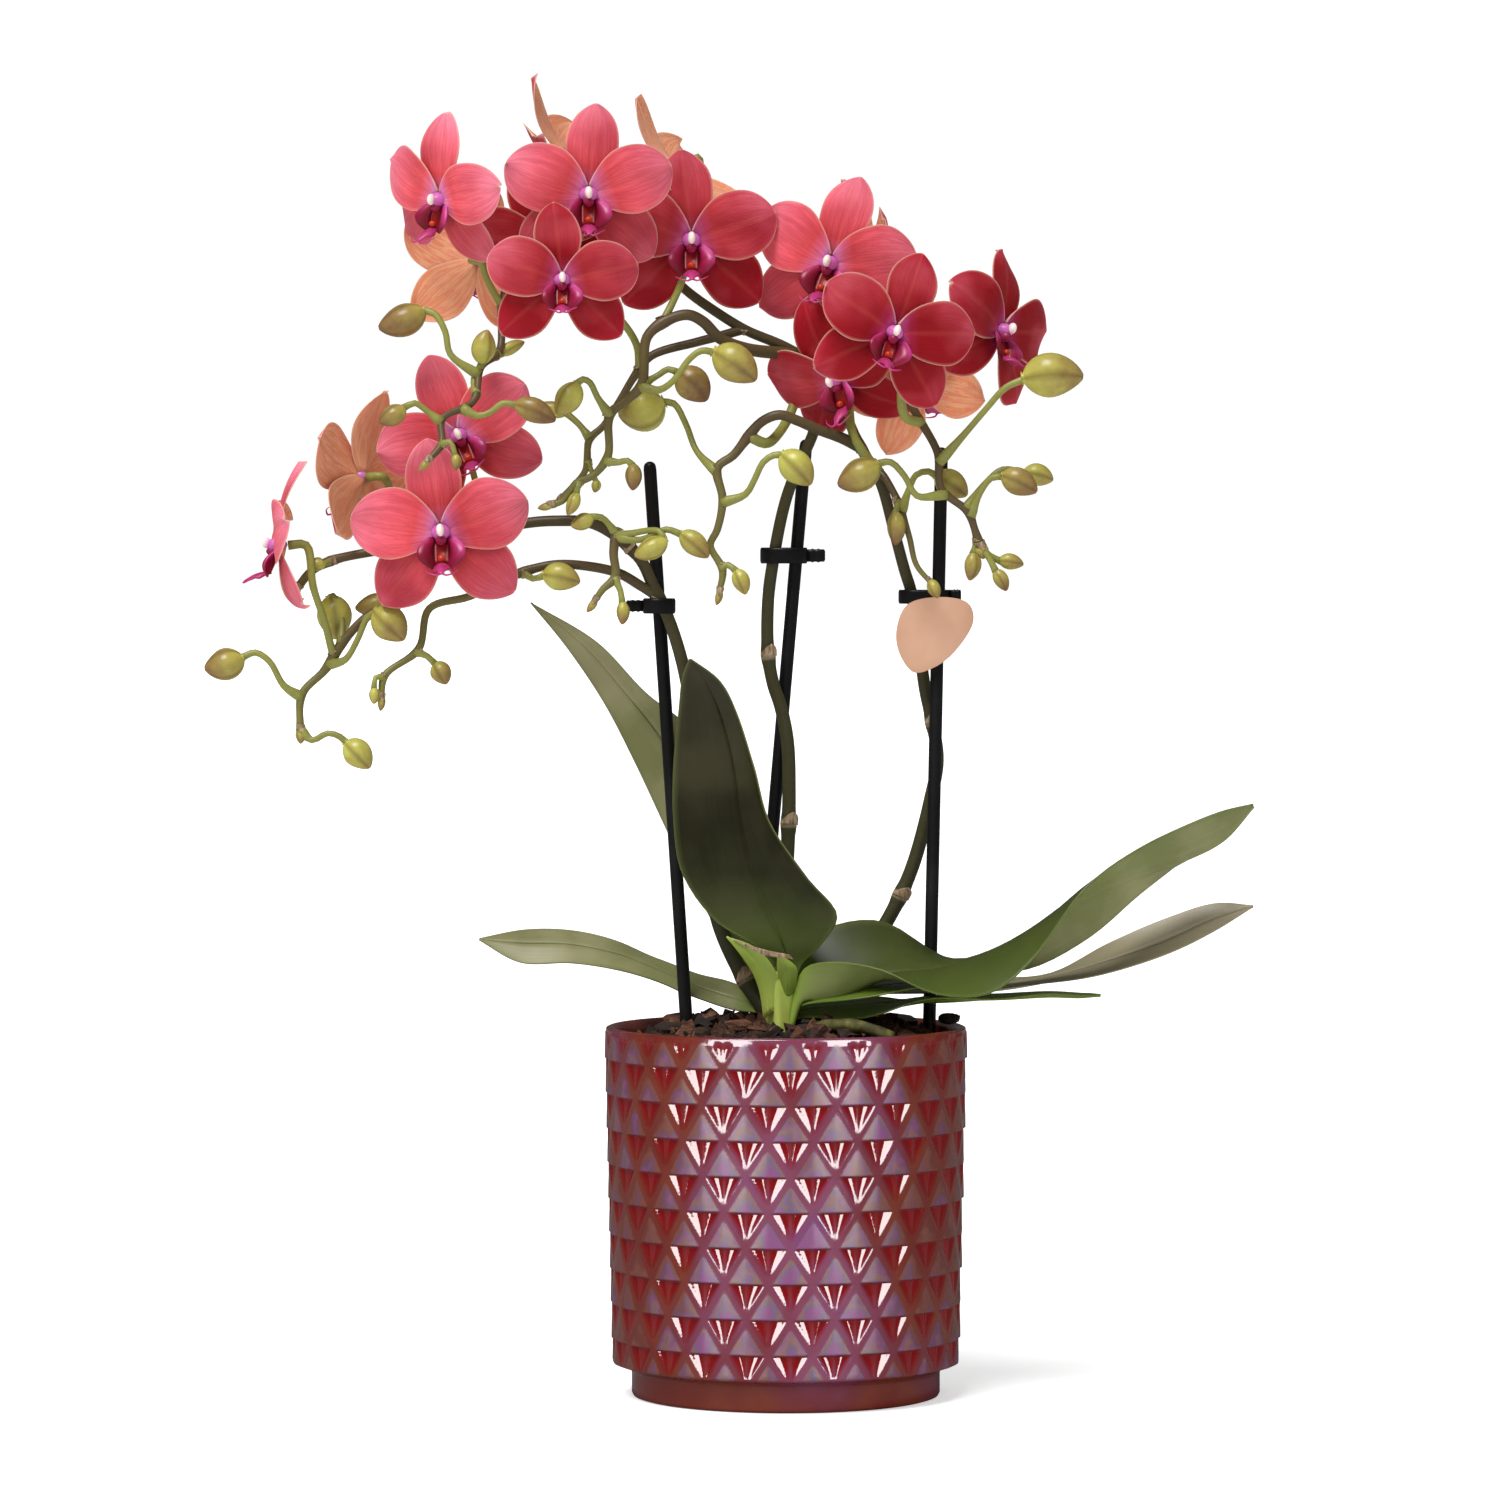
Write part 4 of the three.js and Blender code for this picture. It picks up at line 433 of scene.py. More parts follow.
# %% Smooth lines
def curve(route, places, closed=False):
    """Points of the smooth curve through a route, at places from 0 to 1."""
    points = np.array(route, float)
    if closed:
        padded = np.vstack([points[-1], points, points[0], points[1]])
    else:
        padded = np.vstack([2 * points[0] - points[1], points, 2 * points[-1] - points[-2]])
    spans = len(points) if closed else len(points) - 1
    made = []
    for place in places:
        i = min(int(place * spans), spans - 1)
        share = place * spans - i
        a, b, c, d = padded[i:i + 4]
        before, step, after = (max(np.linalg.norm(q - p), 1e-6) ** 0.5 for p, q in ((a, b), (b, c), (c, d)))
        leave = ((b - a) / before - (c - a) / (before + step) + (c - b) / step) * step
        arrive = ((c - b) / step - (d - b) / (step + after) + (d - c) / after) * step
        bend = -3 * b + 3 * c - 2 * leave - arrive
        made.append(b + leave * share + bend * share ** 2 + (2 * b - 2 * c + leave + arrive) * share ** 3)
    return np.array(made)


def middle_line(route, longest):
    """The smooth curve through a route as a chain of steps no longer than given."""
    gaps = np.linalg.norm(np.diff(np.array(route, float), axis=0), axis=1)
    places = [0.0]
    for i, gap in enumerate(gaps):
        steps = math.ceil(gap / longest)
        places += [(i + k / steps) / len(gaps) for k in range(1, steps + 1)]
    return curve(route, places)


def nearest_on(line, point):
    """The nearest place on a chain of steps: the point itself, and its index along the chain."""
    starts = line[:-1]
    steps = line[1:] - starts
    share = ((np.array(point) - starts) * steps).sum(axis=1) / (steps ** 2).sum(axis=1)
    places = starts + steps * np.clip(share, 0, 1)[:, None]
    best = int(np.linalg.norm(places - point, axis=1).argmin())
    return places[best], best


def unit(vector):
    return vector / np.linalg.norm(vector, axis=-1, keepdims=True)


def smoothstep(value):
    """0 below 0, 1 above 1 and a soft climb between them."""
    share = np.clip(value, 0, 1)
    return share * share * (3 - 2 * share)


# %% Lofts, tubes and blades
def full_turn(count, start=0.0):
    """Evenly spaced angles all the way round."""
    return start + np.arange(count) * 2 * math.pi / count


def ring(x, y, z):
    """A row of points from three rows of numbers; one number stands for a whole row."""
    return np.stack(np.broadcast_arrays(x, y, z), axis=-1)


def spun_ring(turns, reach, z):
    """A ring round the upright axis of the pot, at a height."""
    return ring(reach * np.cos(turns), reach * np.sin(turns), z)


def side_faces(rings, sides, joined=False):
    """Four-sided faces between neighbouring rings; joined also ties the last ring to the first."""
    faces = []
    for i in range(rings if joined else rings - 1):
        for k in range(sides):
            corners = ((i, k), (i, k + 1), (i + 1, k + 1), (i + 1, k))
            faces.append([a % rings * sides + b % sides for a, b in corners])
    return faces


def loft(rings):
    """Points and faces of a closed shell through rings, fanned shut at both ends."""
    sides = len(rings[0])
    points = np.vstack([*rings, rings[0].mean(axis=0), rings[-1].mean(axis=0)])
    faces = side_faces(len(rings), sides)
    last = (len(rings) - 1) * sides
    for k in range(sides):
        after = (k + 1) % sides
        faces.append([len(points) - 2, after, k])
        faces.append([len(points) - 1, last + k, last + after])
    return points, faces


def ring_frames(line):
    """Two directions square to a line at each of its points, carried along without twisting."""
    tangents = unit(np.gradient(line, axis=0))
    across = np.cross([0, 0, 1.0], tangents[0])
    if np.linalg.norm(across) < 0.1:
        across = np.array([1.0, 0, 0])
    sideways = []
    for tangent in tangents:
        across = unit(across - tangent * across.dot(tangent))
        sideways.append(across)
    sideways = np.array(sideways)
    return tangents, sideways, np.cross(tangents, sideways)


def tube(line, radii, sides=12, ribs=0.0):
    """A closed round tube; ribs is how far, as a share, its section bulges in three places."""
    _, across, up = ring_frames(line)
    angles = full_turn(sides)
    shape = 1 + ribs * np.cos(3 * angles)
    radii = np.broadcast_to(radii, len(line))[:, None, None]
    round_x = (np.cos(angles) * shape)[None, :, None] * radii
    round_y = (np.sin(angles) * shape)[None, :, None] * radii
    return loft(list(line[:, None, :] + across[:, None, :] * round_x + up[:, None, :] * round_y))


def blade_normals(grid):
    return unit(np.cross(np.gradient(grid, axis=1), np.gradient(grid, axis=0)) + 1e-12)


def blade(grid, thickness):
    """A closed thin sheet round a grid of points, rows by columns, with its thickness at each."""
    rows, columns = grid.shape[:2]
    offset = blade_normals(grid) * (np.broadcast_to(thickness, (rows, columns)) / 2)[:, :, None]
    points = np.vstack([(grid + offset).reshape(-1, 3), (grid - offset).reshape(-1, 3)])
    half = rows * columns
    faces = []
    for i in range(rows - 1):
        for a in range(i * columns, (i + 1) * columns - 1):
            faces.append([a, a + 1, a + columns + 1, a + columns])
            faces.append([half + a, half + a + columns, half + a + columns + 1, half + a + 1])
    index = np.arange(half).reshape(rows, columns)
    rim = [int(i) for i in (*index[0], *index[1:, -1], *index[-1, -2::-1], *index[-2:0:-1, 0])]
    for k, here in enumerate(rim):
        after = rim[(k + 1) % len(rim)]
        faces.append([here, here + half, after + half, after])
    return points, faces


print("tools for lofts, tubes and blades are ready")

# %% [markdown]
# ## One function for material nodes
# A finish is a small network of nodes. Writing each network by hand would hide its idea under
# clerical lines, so one function adds a node, sets what is given and links what comes from
# another node. Colours are written as the screen shows them, in hex, and turned to the linear
# values that the renderer adds and multiplies.

# %% Colours and nodes
MIX = "ShaderNodeMix"
MATH = "ShaderNodeMath"
NOISE = "ShaderNodeTexNoise"
RAMP = "ShaderNodeValToRGB"
PAINTED = "ShaderNodeAttribute"
BUMP = "ShaderNodeBump"
RANGE = "ShaderNodeMapRange"


def linear(hex_colour):
    """A screen colour such as 'C84060' as linear red, green, blue and full opacity."""
    channels = [int(hex_colour[i:i + 2], 16) / 255 for i in (0, 2, 4)]
    return [c / 12.92 if c <= 0.04045 else ((c + 0.055) / 1.055) ** 2.4 for c in channels] + [1.0]


def fill(tree, node, inputs):
    """Gives a node its inputs: numbers, colours, sockets, or nodes whose first output is used."""
    for key, value in inputs.items():
        if isinstance(value, bpy.types.Node):
            value = next(output for output in value.outputs if output.enabled)
        if isinstance(value, bpy.types.NodeSocket):
            tree.links.new(value, node.inputs[key])
        else:
            node.inputs[key].default_value = value


def add(tree, kind, inputs=(), operation=None, stops=(), **settings):
    """Adds one node. A list of inputs fills its first ones, and stops are places and colours."""
    made = tree.nodes.new(kind)
    if operation:
        settings["operation"] = operation
    for name, value in settings.items():
        setattr(made, name, value)
    fill(tree, made, inputs if isinstance(inputs, dict) else dict(enumerate(inputs)))
    for i, (place, colour) in enumerate(stops):
        elements = made.color_ramp.elements
        element = elements[i] if i < 2 else elements.new(place)
        element.position = place
        element.color = linear(colour)
    return made


def new_finish(name):
    """An empty material: its nodes, its surface shader, and the place of a point on the object."""
    material = bpy.data.materials.new(name)
    material.use_nodes = True
    tree = material.node_tree
    print("finish:", name)
    return material, tree, tree.nodes["Principled BSDF"], add(tree, "ShaderNodeTexCoord").outputs["Object"]


def new_tree(name, sizes):
    """An empty Geometry Nodes tree that takes a mesh and named sizes, and its inputs."""
    tree = bpy.data.node_groups.new(name, "GeometryNodeTree")
    for in_out in ("INPUT", "OUTPUT"):
        tree.interface.new_socket("Geometry", in_out=in_out, socket_type="NodeSocketGeometry")
    for size in sizes:
        tree.interface.new_socket(size, in_out="INPUT", socket_type="NodeSocketFloat")
    return tree, tree.nodes.new("NodeGroupInput").outputs


def apply_tree(shells, tree, sizes):
    """Runs a node tree on the collected shells and returns the result as a mesh of its own."""
    carrier = put_in_scene("source", shells.mesh("source"))
    modifier = carrier.modifiers.new("tree", "NODES")
    modifier.node_group = tree
    for item in tree.interface.items_tree:
        if item.in_out == "INPUT" and item.name in sizes:
            modifier[item.identifier] = float(sizes[item.name])
    evaluated = carrier.evaluated_get(bpy.context.evaluated_depsgraph_get())
    result = bpy.data.meshes.new_from_object(evaluated)
    bpy.data.objects.remove(carrier)
    return result


print("node helpers are ready")

# %% [markdown]
# ## The glazed pot
# The real pot is cast stoneware: a plain rounded rim, a short foot that is drawn in, and
# between them ten rows of 25 diamonds. The upper half of each diamond swells out like a small
# tent and ends in a sharp step; the lower half is a sunk triangle. The relief follows a rule,
# so a modelled tile repeated by hand would be slow and would drift. Instead a plain lathed
# wall is made first, and a Geometry Nodes tree moves each point outwards or inwards by where
# it lies in its diamond. The tree also paints how deep each point is, for the glaze.

# %% Pot sizes and its lathed wall
RIM_RADIUS = 52.0
BASE_RADIUS = 49.5
POT_HEIGHT = 105.5
CELLS = 25
ROWS_OF_CELLS = 10
ROW_PITCH = 9.98
TOP_ROW = 96.7
FIRST_APEX = math.radians(1.2 - 90)
RELIEF_LOW = 9.4
RELIEF_HIGH = 104.2
TENT_HEIGHT = 0.38
COLUMNS_PER_CELL = 26
RINGS_PER_ROW = 10


def wall_heights():
    """Heights for the rings of points: even ones, and two close ones at each sharp step."""
    heights = {RELIEF_LOW + 0.3}
    for row in range(-1, ROWS_OF_CELLS):
        middle = TOP_ROW - row * ROW_PITCH
        even = [(k + 0.35) * ROW_PITCH / RINGS_PER_ROW for k in range(RINGS_PER_ROW)]
        heights |= {round(middle + step, 3) for step in (*even, 0.04, -0.22)}
    return sorted(h for h in heights if RELIEF_LOW <= h <= RELIEF_HIGH)


foot = [(12, 1.2), (36, 1.2), (38.5, 0.9), (39.6, 0.2), (41, 0), (42.6, 0), (43.6, 0.3), (44, 1.1),
        (44, 4), (44, 6.6), (44.3, 7.5), (45.2, 8.2), (46.3, 8.8), (47.6, 9.1)]
wall = [(BASE_RADIUS + (RIM_RADIUS - BASE_RADIUS) * z / POT_HEIGHT - TENT_HEIGHT, z) for z in wall_heights()]
rim = [(51.3, 104.5), (51.35, 104.8), (51.25, 105.1), (50.9, 105.3), (50.5, 105.45), (50, 105.5),
       (49.4, 105.4), (48.8, 105.1), (48.4, 104.6), (48.2, 103.8)]
inside = [(48, 102), (47.4, 90), (46.4, 60), (45.3, 30), (44.4, 9), (43.6, 7), (41.6, 6.1), (20, 6)]
turns = full_turn(CELLS * COLUMNS_PER_CELL, FIRST_APEX)
pot = Shells()
pot.add(*loft([spun_ring(turns, r, z) for r, z in foot + wall + rim + inside]))
print("pot wall:", pot.count, "points")

# %% [markdown]
# ### How the relief is worked out
# Two families of slanting lines cross on the wall and cut it into diamonds. In each diamond
# "below" runs from -1 at the top to 1 at the bottom and "aside" from -1 to 1 across, and
# their sizes add up to 1 on its edges. A tent rises from those edges to its lower end. A sunk
# triangle has two hollow lobes with a soft ridge between them: each lobe shows a slanted and
# an upright stroke of light, which is what the real glaze shows. Every entry of the table
# below is one sum: its name, its kind and what goes into it.

# %% The diamond relief as a Geometry Nodes tree
SIZES = {"Cells": CELLS, "Row pitch": ROW_PITCH * MM, "Top row": TOP_ROW * MM, "First apex": FIRST_APEX,
         "Tent height": TENT_HEIGHT * MM, "Sunk depth": 0.95 * MM, "Inner share": 0.85,
         "Low end": RELIEF_LOW * MM, "High end": RELIEF_HIGH * MM, "Soft edge": 0.6 * MM,
         "Outer wall": 48.3 * MM}
SUMS = [
    ("turn", "ARCTAN2", "y", "x"), ("from_apex", "SUBTRACT", "turn", "First apex"),
    ("halves", "DIVIDE", "Cells", math.pi), ("around", "MULTIPLY", "from_apex", "halves"),
    ("drop", "SUBTRACT", "Top row", "z"), ("rows_down", "DIVIDE", "drop", "Row pitch"),
    ("row", "ADD", "rows_down", 1.0), ("line_one", "ADD", "around", "row"),
    ("line_two", "SUBTRACT", "around", "row"), ("slant_one", "FLOORED_MODULO", "line_one", 2.0),
    ("slant_two", "FLOORED_MODULO", "line_two", 2.0), ("apart", "SUBTRACT", "slant_one", "slant_two"),
    ("below", "MULTIPLY", "apart", 0.5), ("both", "ADD", "slant_one", "slant_two"),
    ("aside", "MULTIPLY_ADD", "both", 0.5, -1.0), ("off", "ABSOLUTE", "aside"),
    ("level", "ABSOLUTE", "below"), ("used", "ADD", "off", "level"),
    ("left_over", "SUBTRACT", "Inner share", "used"), ("inside", "GREATER_THAN", "left_over", 0.0),
    ("lower_half", "GREATER_THAN", "below", 0.0), ("upper_half", "SUBTRACT", 1.0, "lower_half"),
    # the tent: steep at its slanted edges, flatter towards its lower end, with a rounded ridge
    ("off_squared", "MULTIPLY", "off", "off"), ("off_soft", "ADD", "off_squared", 0.004),
    ("rounded", "POWER", "off_soft", 0.5), ("soft_used", "ADD", "rounded", "level"),
    ("soft_left", "SUBTRACT", "Inner share", "soft_used"), ("climb", "MAXIMUM", "soft_left", 0.0),
    ("share", "DIVIDE", "climb", "Inner share"), ("swell", "MULTIPLY_ADD", "share", -0.6, 1.6),
    ("tent_share", "MULTIPLY", "share", "swell"), ("tent_there", "MULTIPLY", "tent_share", "upper_half"),
    ("tent_rise", "MULTIPLY", "tent_there", "Tent height"),
    # the sunk triangle: two lobes, deepest four tenths of the way from its middle to its edge
    ("width", "SUBTRACT", "Inner share", "level"), ("curve", "DIVIDE", "off_squared", "width"),
    ("fall", "MULTIPLY", "curve", -3.875), ("bowl", "MULTIPLY_ADD", "off", 3.255, "fall"),
    ("lobes", "MULTIPLY_ADD", "width", 0.62, "bowl"), ("depth", "MAXIMUM", "lobes", 0.0),
    ("held", "MULTIPLY", "depth", "inside"), ("sunk", "MULTIPLY", "held", "lower_half"),
    ("sunk_drop", "MULTIPLY", "sunk", "Sunk depth"), ("height", "SUBTRACT", "tent_rise", "sunk_drop"),
    # nothing is cut on the foot, the rim and the inner wall
    ("over_low", "SUBTRACT", "z", "Low end"), ("low_share", "DIVIDE", "over_low", "Soft edge"),
    ("under_high", "SUBTRACT", "High end", "z"), ("high_share", "DIVIDE", "under_high", "Soft edge"),
    ("nearer", "MINIMUM", "low_share", "high_share"), ("not_less", "MAXIMUM", "nearer", 0.0),
    ("fading", "MINIMUM", "not_less", 1.0), ("x_squared", "MULTIPLY", "x", "x"),
    ("reach_squared", "MULTIPLY_ADD", "y", "y", "x_squared"), ("reach", "POWER", "reach_squared", 0.5),
    ("outer", "GREATER_THAN", "reach", "Outer wall"), ("fade", "MULTIPLY", "fading", "outer"),
    ("shift", "MULTIPLY", "height", "fade"), ("sunk_paint", "MULTIPLY", "sunk", "fade"),
    ("tent_paint", "MULTIPLY", "tent_there", "fade"),
]
relief, given = new_tree("diamond_relief", SIZES)
place = add(relief, "ShaderNodeSeparateXYZ", [add(relief, "GeometryNodeInputPosition")]).outputs
value = {name: given[name] for name in SIZES} | dict(zip("xyz", place))
for name, kind, *terms in SUMS:
    value[name] = add(relief, MATH, [value.get(term, term) for term in terms], kind)
flat_place = add(relief, "ShaderNodeCombineXYZ", [place[0], place[1]])
outwards = add(relief, "ShaderNodeVectorMath", [flat_place], "NORMALIZE")
shift = add(relief, "ShaderNodeVectorMath", {0: outwards, "Scale": value["shift"]}, "SCALE")
geometry = given["Geometry"]
for name in ("sunk_paint", "tent_paint"):
    geometry = add(relief, "GeometryNodeStoreNamedAttribute", data_type="FLOAT", domain="POINT",
                   inputs={"Geometry": geometry, "Name": name, "Value": value[name]})
moved = add(relief, "GeometryNodeSetPosition", {"Geometry": geometry, "Offset": shift})
set_glaze = add(relief, "GeometryNodeSetMaterial", [add(relief, "GeometryNodeRealizeInstances", [moved])])
add(relief, "NodeGroupOutput", [set_glaze])
print("relief tree:", len(relief.nodes), "nodes")

# %% [markdown]
# ### The glaze
# A dark red reduction glaze with a lustre: glass fused onto clay in the kiln under a very thin
# film of metal. In the sunk triangles it lies thick, is a deep wet red and is at its smoothest.
# Over the tents and the strips between them the film breaks the light into orange brown, magenta,
# purple and a greyish mauve, and dulls the gloss a little. Its colour follows three things:
# clouds about 8 mm across, broad zones of 30 mm or so that shift towards mauve at the front of
# the pot, a painted reflection of the lustre's sheen towards the viewer, and how far the relief
# tree lifted the point. The film raises the IOR above that of plain glass, to 1.7.

# %% Lustre glaze on stoneware
glaze, tree, surface, here = new_finish("lustre_glaze_on_stoneware")
clouds = add(tree, NOISE, {"Vector": here, "Scale": 125.0, "Detail": 3.0, "Roughness": 0.6})
patches = add(tree, NOISE, {"Vector": here, "Scale": 30.0, "Detail": 3.0})
sunk_paint, tent_paint = (add(tree, PAINTED, attribute_name=name).outputs["Fac"]
                          for name in ("sunk_paint", "tent_paint"))
front = add(tree, "ShaderNodeSeparateXYZ", [here]).outputs[1]
# painted reflection: the glaze turns towards mauve at the front of the pot, where the lustre's sheen faces
# the viewer
front_sheen = add(tree, RANGE, {0: front, 1: -34 * MM, 2: -50 * MM}, interpolation_type="SMOOTHSTEP")
front_sheen_zone = add(tree, MATH, [front_sheen, 0.5, -0.6], "MULTIPLY_ADD")
zone = add(tree, MATH, [patches, 1.6, front_sheen_zone], "MULTIPLY_ADD")
zone_film = add(tree, MATH, [zone, 0.7, -0.55], "MULTIPLY_ADD")
swollen_film = add(tree, MATH, [tent_paint, 0.3, zone_film], "MULTIPLY_ADD")
film = add(tree, MATH, [clouds, 1.4, swollen_film], "MULTIPLY_ADD")
film_colour = add(tree, RAMP, [film],
                  stops=[(0.2, "4A1A12"), (0.36, "52281C"), (0.48, "4C2628"), (0.58, "46283C"),
                         (0.68, "542848"), (0.78, "56382C"), (0.9, "44324A"), (1.0, "56244E")])
thick_colour = add(tree, RAMP, [zone],
                   stops=[(0.1, "4A140E"), (0.3, "501E12"), (0.48, "4C1A20"), (0.66, "522232"),
                          (0.85, "582C3E"), (1.0, "50284A")])
tent_share = add(tree, MATH, [tent_paint, 5.0], "MULTIPLY", use_clamp=True)
sunk_share = add(tree, MATH, [sunk_paint, 1.6], "MULTIPLY", use_clamp=True)
raised = add(tree, MIX, {0: tent_share, 6: thick_colour, 7: film_colour}, data_type="RGBA")
cut = add(tree, MIX, {0: sunk_share, 6: raised, 7: linear("560508")}, data_type="RGBA")
skin = add(tree, NOISE, {"Vector": here, "Scale": 300.0, "Detail": 2.0})
dulled = add(tree, MATH, [tent_share, 0.26, 0.12], "MULTIPLY_ADD")
fill(tree, surface, {
    "Base Color": cut, "Normal": add(tree, BUMP, {"Height": skin, "Strength": 0.08, "Distance": 0.5 * MM}),
    "Roughness": add(tree, MATH, [sunk_share, -0.06, dulled], "MULTIPLY_ADD"), "IOR": 1.7})
set_glaze.inputs["Material"].default_value = glaze

# %% Cut the relief and keep the result as a plain mesh
pot_mesh = apply_tree(pot, relief, SIZES)
pot_piece = tie_to_frame("pot_with_diamonds", pot_mesh, "glazed_pot")

# %% [markdown]
# ## The nursery pot and the stakes
# The plant is sold in a thin dark plastic pot that stands inside the glazed one; only a dark
# line of its rim shows between the glaze and the bark. It was pressed with shallow ribs, and
# a lathe with a rippled radius gives them. The stakes are thin dark rods with rounded tops.

# %% Dark plastic
plastic, tree, surface, here = new_finish("moulded_polypropylene_dark")
# moulded polypropylene: a soft satin gloss, with a fine even grain of about 1 mm
grain = add(tree, NOISE, {"Vector": here, "Scale": 900.0, "Detail": 2.0})
dust = add(tree, NOISE, {"Vector": here, "Scale": 60.0, "Detail": 3.0})
fill(tree, surface, {
    "Base Color": add(tree, RAMP, [dust], stops=[(0.3, "08070A"), (0.6, "0F0E12"), (0.8, "1A191E")]),
    "Normal": add(tree, BUMP, {"Height": grain, "Strength": 0.15, "Distance": 0.1 * MM}),
    "Roughness": add(tree, RANGE, {0: dust, 3: 0.34, 4: 0.5}), "IOR": 1.49})

# %% Nursery pot and stakes
NURSERY_RIBS = 36
NURSERY_PROFILE = [  # radius, height and depth of the ribs
    (10, 6.4, 0), (40, 6.4, 0), (41, 7, 0), (42.2, 30, 0.25), (43.5, 50, 0.25), (45, 78, 0.25),
    (45.8, 91, 0.2), (46, 93.4, 0), (47.1, 93.8, 0), (47.2, 97.6, 0), (46.9, 98, 0), (45.9, 97.9, 0),
    (45.3, 97, 0), (45, 90, 0), (42.6, 50, 0), (40.2, 8.2, 0), (10, 7.6, 0)]
turns = full_turn(NURSERY_RIBS * 6)
ribs = np.cos(NURSERY_RIBS * turns)
nursery = Shells()
nursery.add(*loft([spun_ring(turns, r + rib * ribs, z) for r, z, rib in NURSERY_PROFILE]))
nursery.piece("ribbed_nursery_pot", [plastic], "nursery_pot")

STAKE_RADIUS = 1.85
for name, (top, point) in STAKES.items():
    along_stake = np.array(top, float) - point
    length = np.linalg.norm(along_stake)
    places = np.array([0.3, 5, 8, length / 3, length / 2, length - 2.4, length - 1.2, length - 0.6,
                       length - 0.2, length])
    radii = [0.4, 1.4, STAKE_RADIUS, STAKE_RADIUS, STAKE_RADIUS, STAKE_RADIUS, 1.72, 1.4, 0.9, 0.3]
    rod = Shells()
    rod.add(*tube(point + np.outer(places / length, along_stake), radii, sides=20))
    rod.piece(name + "_rod", [plastic], name)

# %% [markdown]
# ## Flower stems, branches, stalks and buds
# Each flower stem grew as one: a spike from the crown, branches that leave it at small
# swollen rings, and a stalk under each bud and flower. Where a branch leaves, a dry
# three-cornered scale clasps the stem. Every line becomes a tapering tube through its route,
# so the stem bends softly instead of at corners. The age of the tissue is painted on the
# points: 0 on the old dark spike, 1 on a young bright stalk.

# %% Stem finish
stem_tissue, tree, surface, here = new_finish("orchid_stem_tissue")
age, ring_paint = (add(tree, PAINTED, attribute_name=name).outputs["Fac"] for name in ("age", "ring"))
# living plant skin: waxy, half glossy, dark bronze on old wood and yellow green on young stalks
speckle = add(tree, NOISE, {"Vector": here, "Scale": 700.0, "Detail": 2.0})
drift = add(tree, NOISE, {"Vector": here, "Scale": 45.0, "Detail": 2.0})
mixed_age = add(tree, MATH, [drift, 0.3, add(tree, MATH, [age, 0.15], "SUBTRACT")], "MULTIPLY_ADD")
colour = add(tree, RAMP, [mixed_age], stops=[(0.0, "30381C"), (0.25, "403E20"), (0.45, "5C4C30"),
                                             (0.7, "7C7A3A"), (1.0, "A4AA50")])
for share, tint in ((add(tree, MATH, [speckle, 0.35], "MULTIPLY"), "5A4430"), (ring_paint, "B8A684")):
    colour = add(tree, MIX, {0: share, 6: colour, 7: linear(tint)}, data_type="RGBA")
fill(tree, surface, {
    "Normal": add(tree, BUMP, {"Height": speckle, "Strength": 0.2, "Distance": 0.15 * MM}),
    "Base Color": colour, "Roughness": 0.42, "IOR": 1.45, "Subsurface Weight": 0.08,
    "Subsurface Scale": 0.6 * MM})

# %% Bud finish
bud_tissue, tree, surface, here = new_finish("orchid_bud_skin")
along, seam, tone = (add(tree, PAINTED, attribute_name=name).outputs["Fac"]
                     for name in ("along", "seam", "tone"))
# closed sepals: smooth waxy skin, olive to yellow green, flushed brown towards the tip and seams
cells = add(tree, NOISE, {"Vector": here, "Scale": 260.0, "Detail": 3.0, "Roughness": 0.6})
ripe = add(tree, MATH, [tone, 0.55, -0.42], "MULTIPLY_ADD")
ripe_tip = add(tree, MATH, [along, 0.5, ripe], "MULTIPLY_ADD")
flush = add(tree, MATH, [cells, 0.6, ripe_tip], "MULTIPLY_ADD")
bud_colour = add(tree, RAMP, [flush], stops=[(0.0, "BCBA5A"), (0.25, "ACA44E"), (0.5, "988446"),
                                             (0.75, "82643E"), (1.0, "724C36")])
seam_share = add(tree, MATH, [seam, 0.55], "MULTIPLY")
fill(tree, surface, {
    "Base Color": add(tree, MIX, {0: seam_share, 6: bud_colour, 7: linear("5E4426")}, data_type="RGBA"),
    "Roughness": 0.32, "IOR": 1.45, "Subsurface Weight": 0.2, "Subsurface Scale": 1.2 * MM})

# %% Dry papery tissue
dry_tissue, tree, surface, here = new_finish("dry_papery_scale")
# dead scale leaves: thin, matt and straw coloured, with fibres well under a millimetre apart
stretched = add(tree, "ShaderNodeMapping", {0: here, 3: (1, 1, 0.25)})
fibres = add(tree, NOISE, {"Vector": stretched, "Scale": 1500.0, "Detail": 2.0})
fill(tree, surface, {
    "Base Color": add(tree, RAMP, [fibres], stops=[(0.3, "6A5440"), (0.5, "8E765C"), (0.7, "B09A7C")]),
    "Normal": add(tree, BUMP, {"Height": fibres, "Strength": 0.4, "Distance": 0.2 * MM}),
    "Roughness": 0.8, "IOR": 1.45})

# %% Shapes of stalk, bud and scale
STALK_RADIUS = 1.05
STALK_CURVE = 6  # how far behind a flower its stalk turns to face the way the flower does
STALK_STEP = 2.0
STALK_AGE = 0.85
STEM_STEP = 1.6
STEM_SIDES = 16
BUD_SIDES = 18
BUD_OVERLAP = 0.8  # how far a bud reaches back over the end of its stalk
SCALE_THICKNESS = 0.18
SPIKE_RINGS = {"left_flower_stem": [118.0], "middle_flower_stem": [163.0, 211.5],
               "right_flower_stem": [142.5, 191.5]}
chance = random.Random(7)


def swollen(line, thick, thin, joints, reach=2.4, swell=0.22):
    """The radius along a stem, swollen near the joints where something leaves it."""
    radii = thick + (thin - thick) * np.linspace(0, 1, len(line))
    for joint in joints:
        distance = np.linalg.norm(line - joint, axis=1)
        radii = radii * (1 + swell * np.exp(-(distance / reach) ** 2))
    return radii


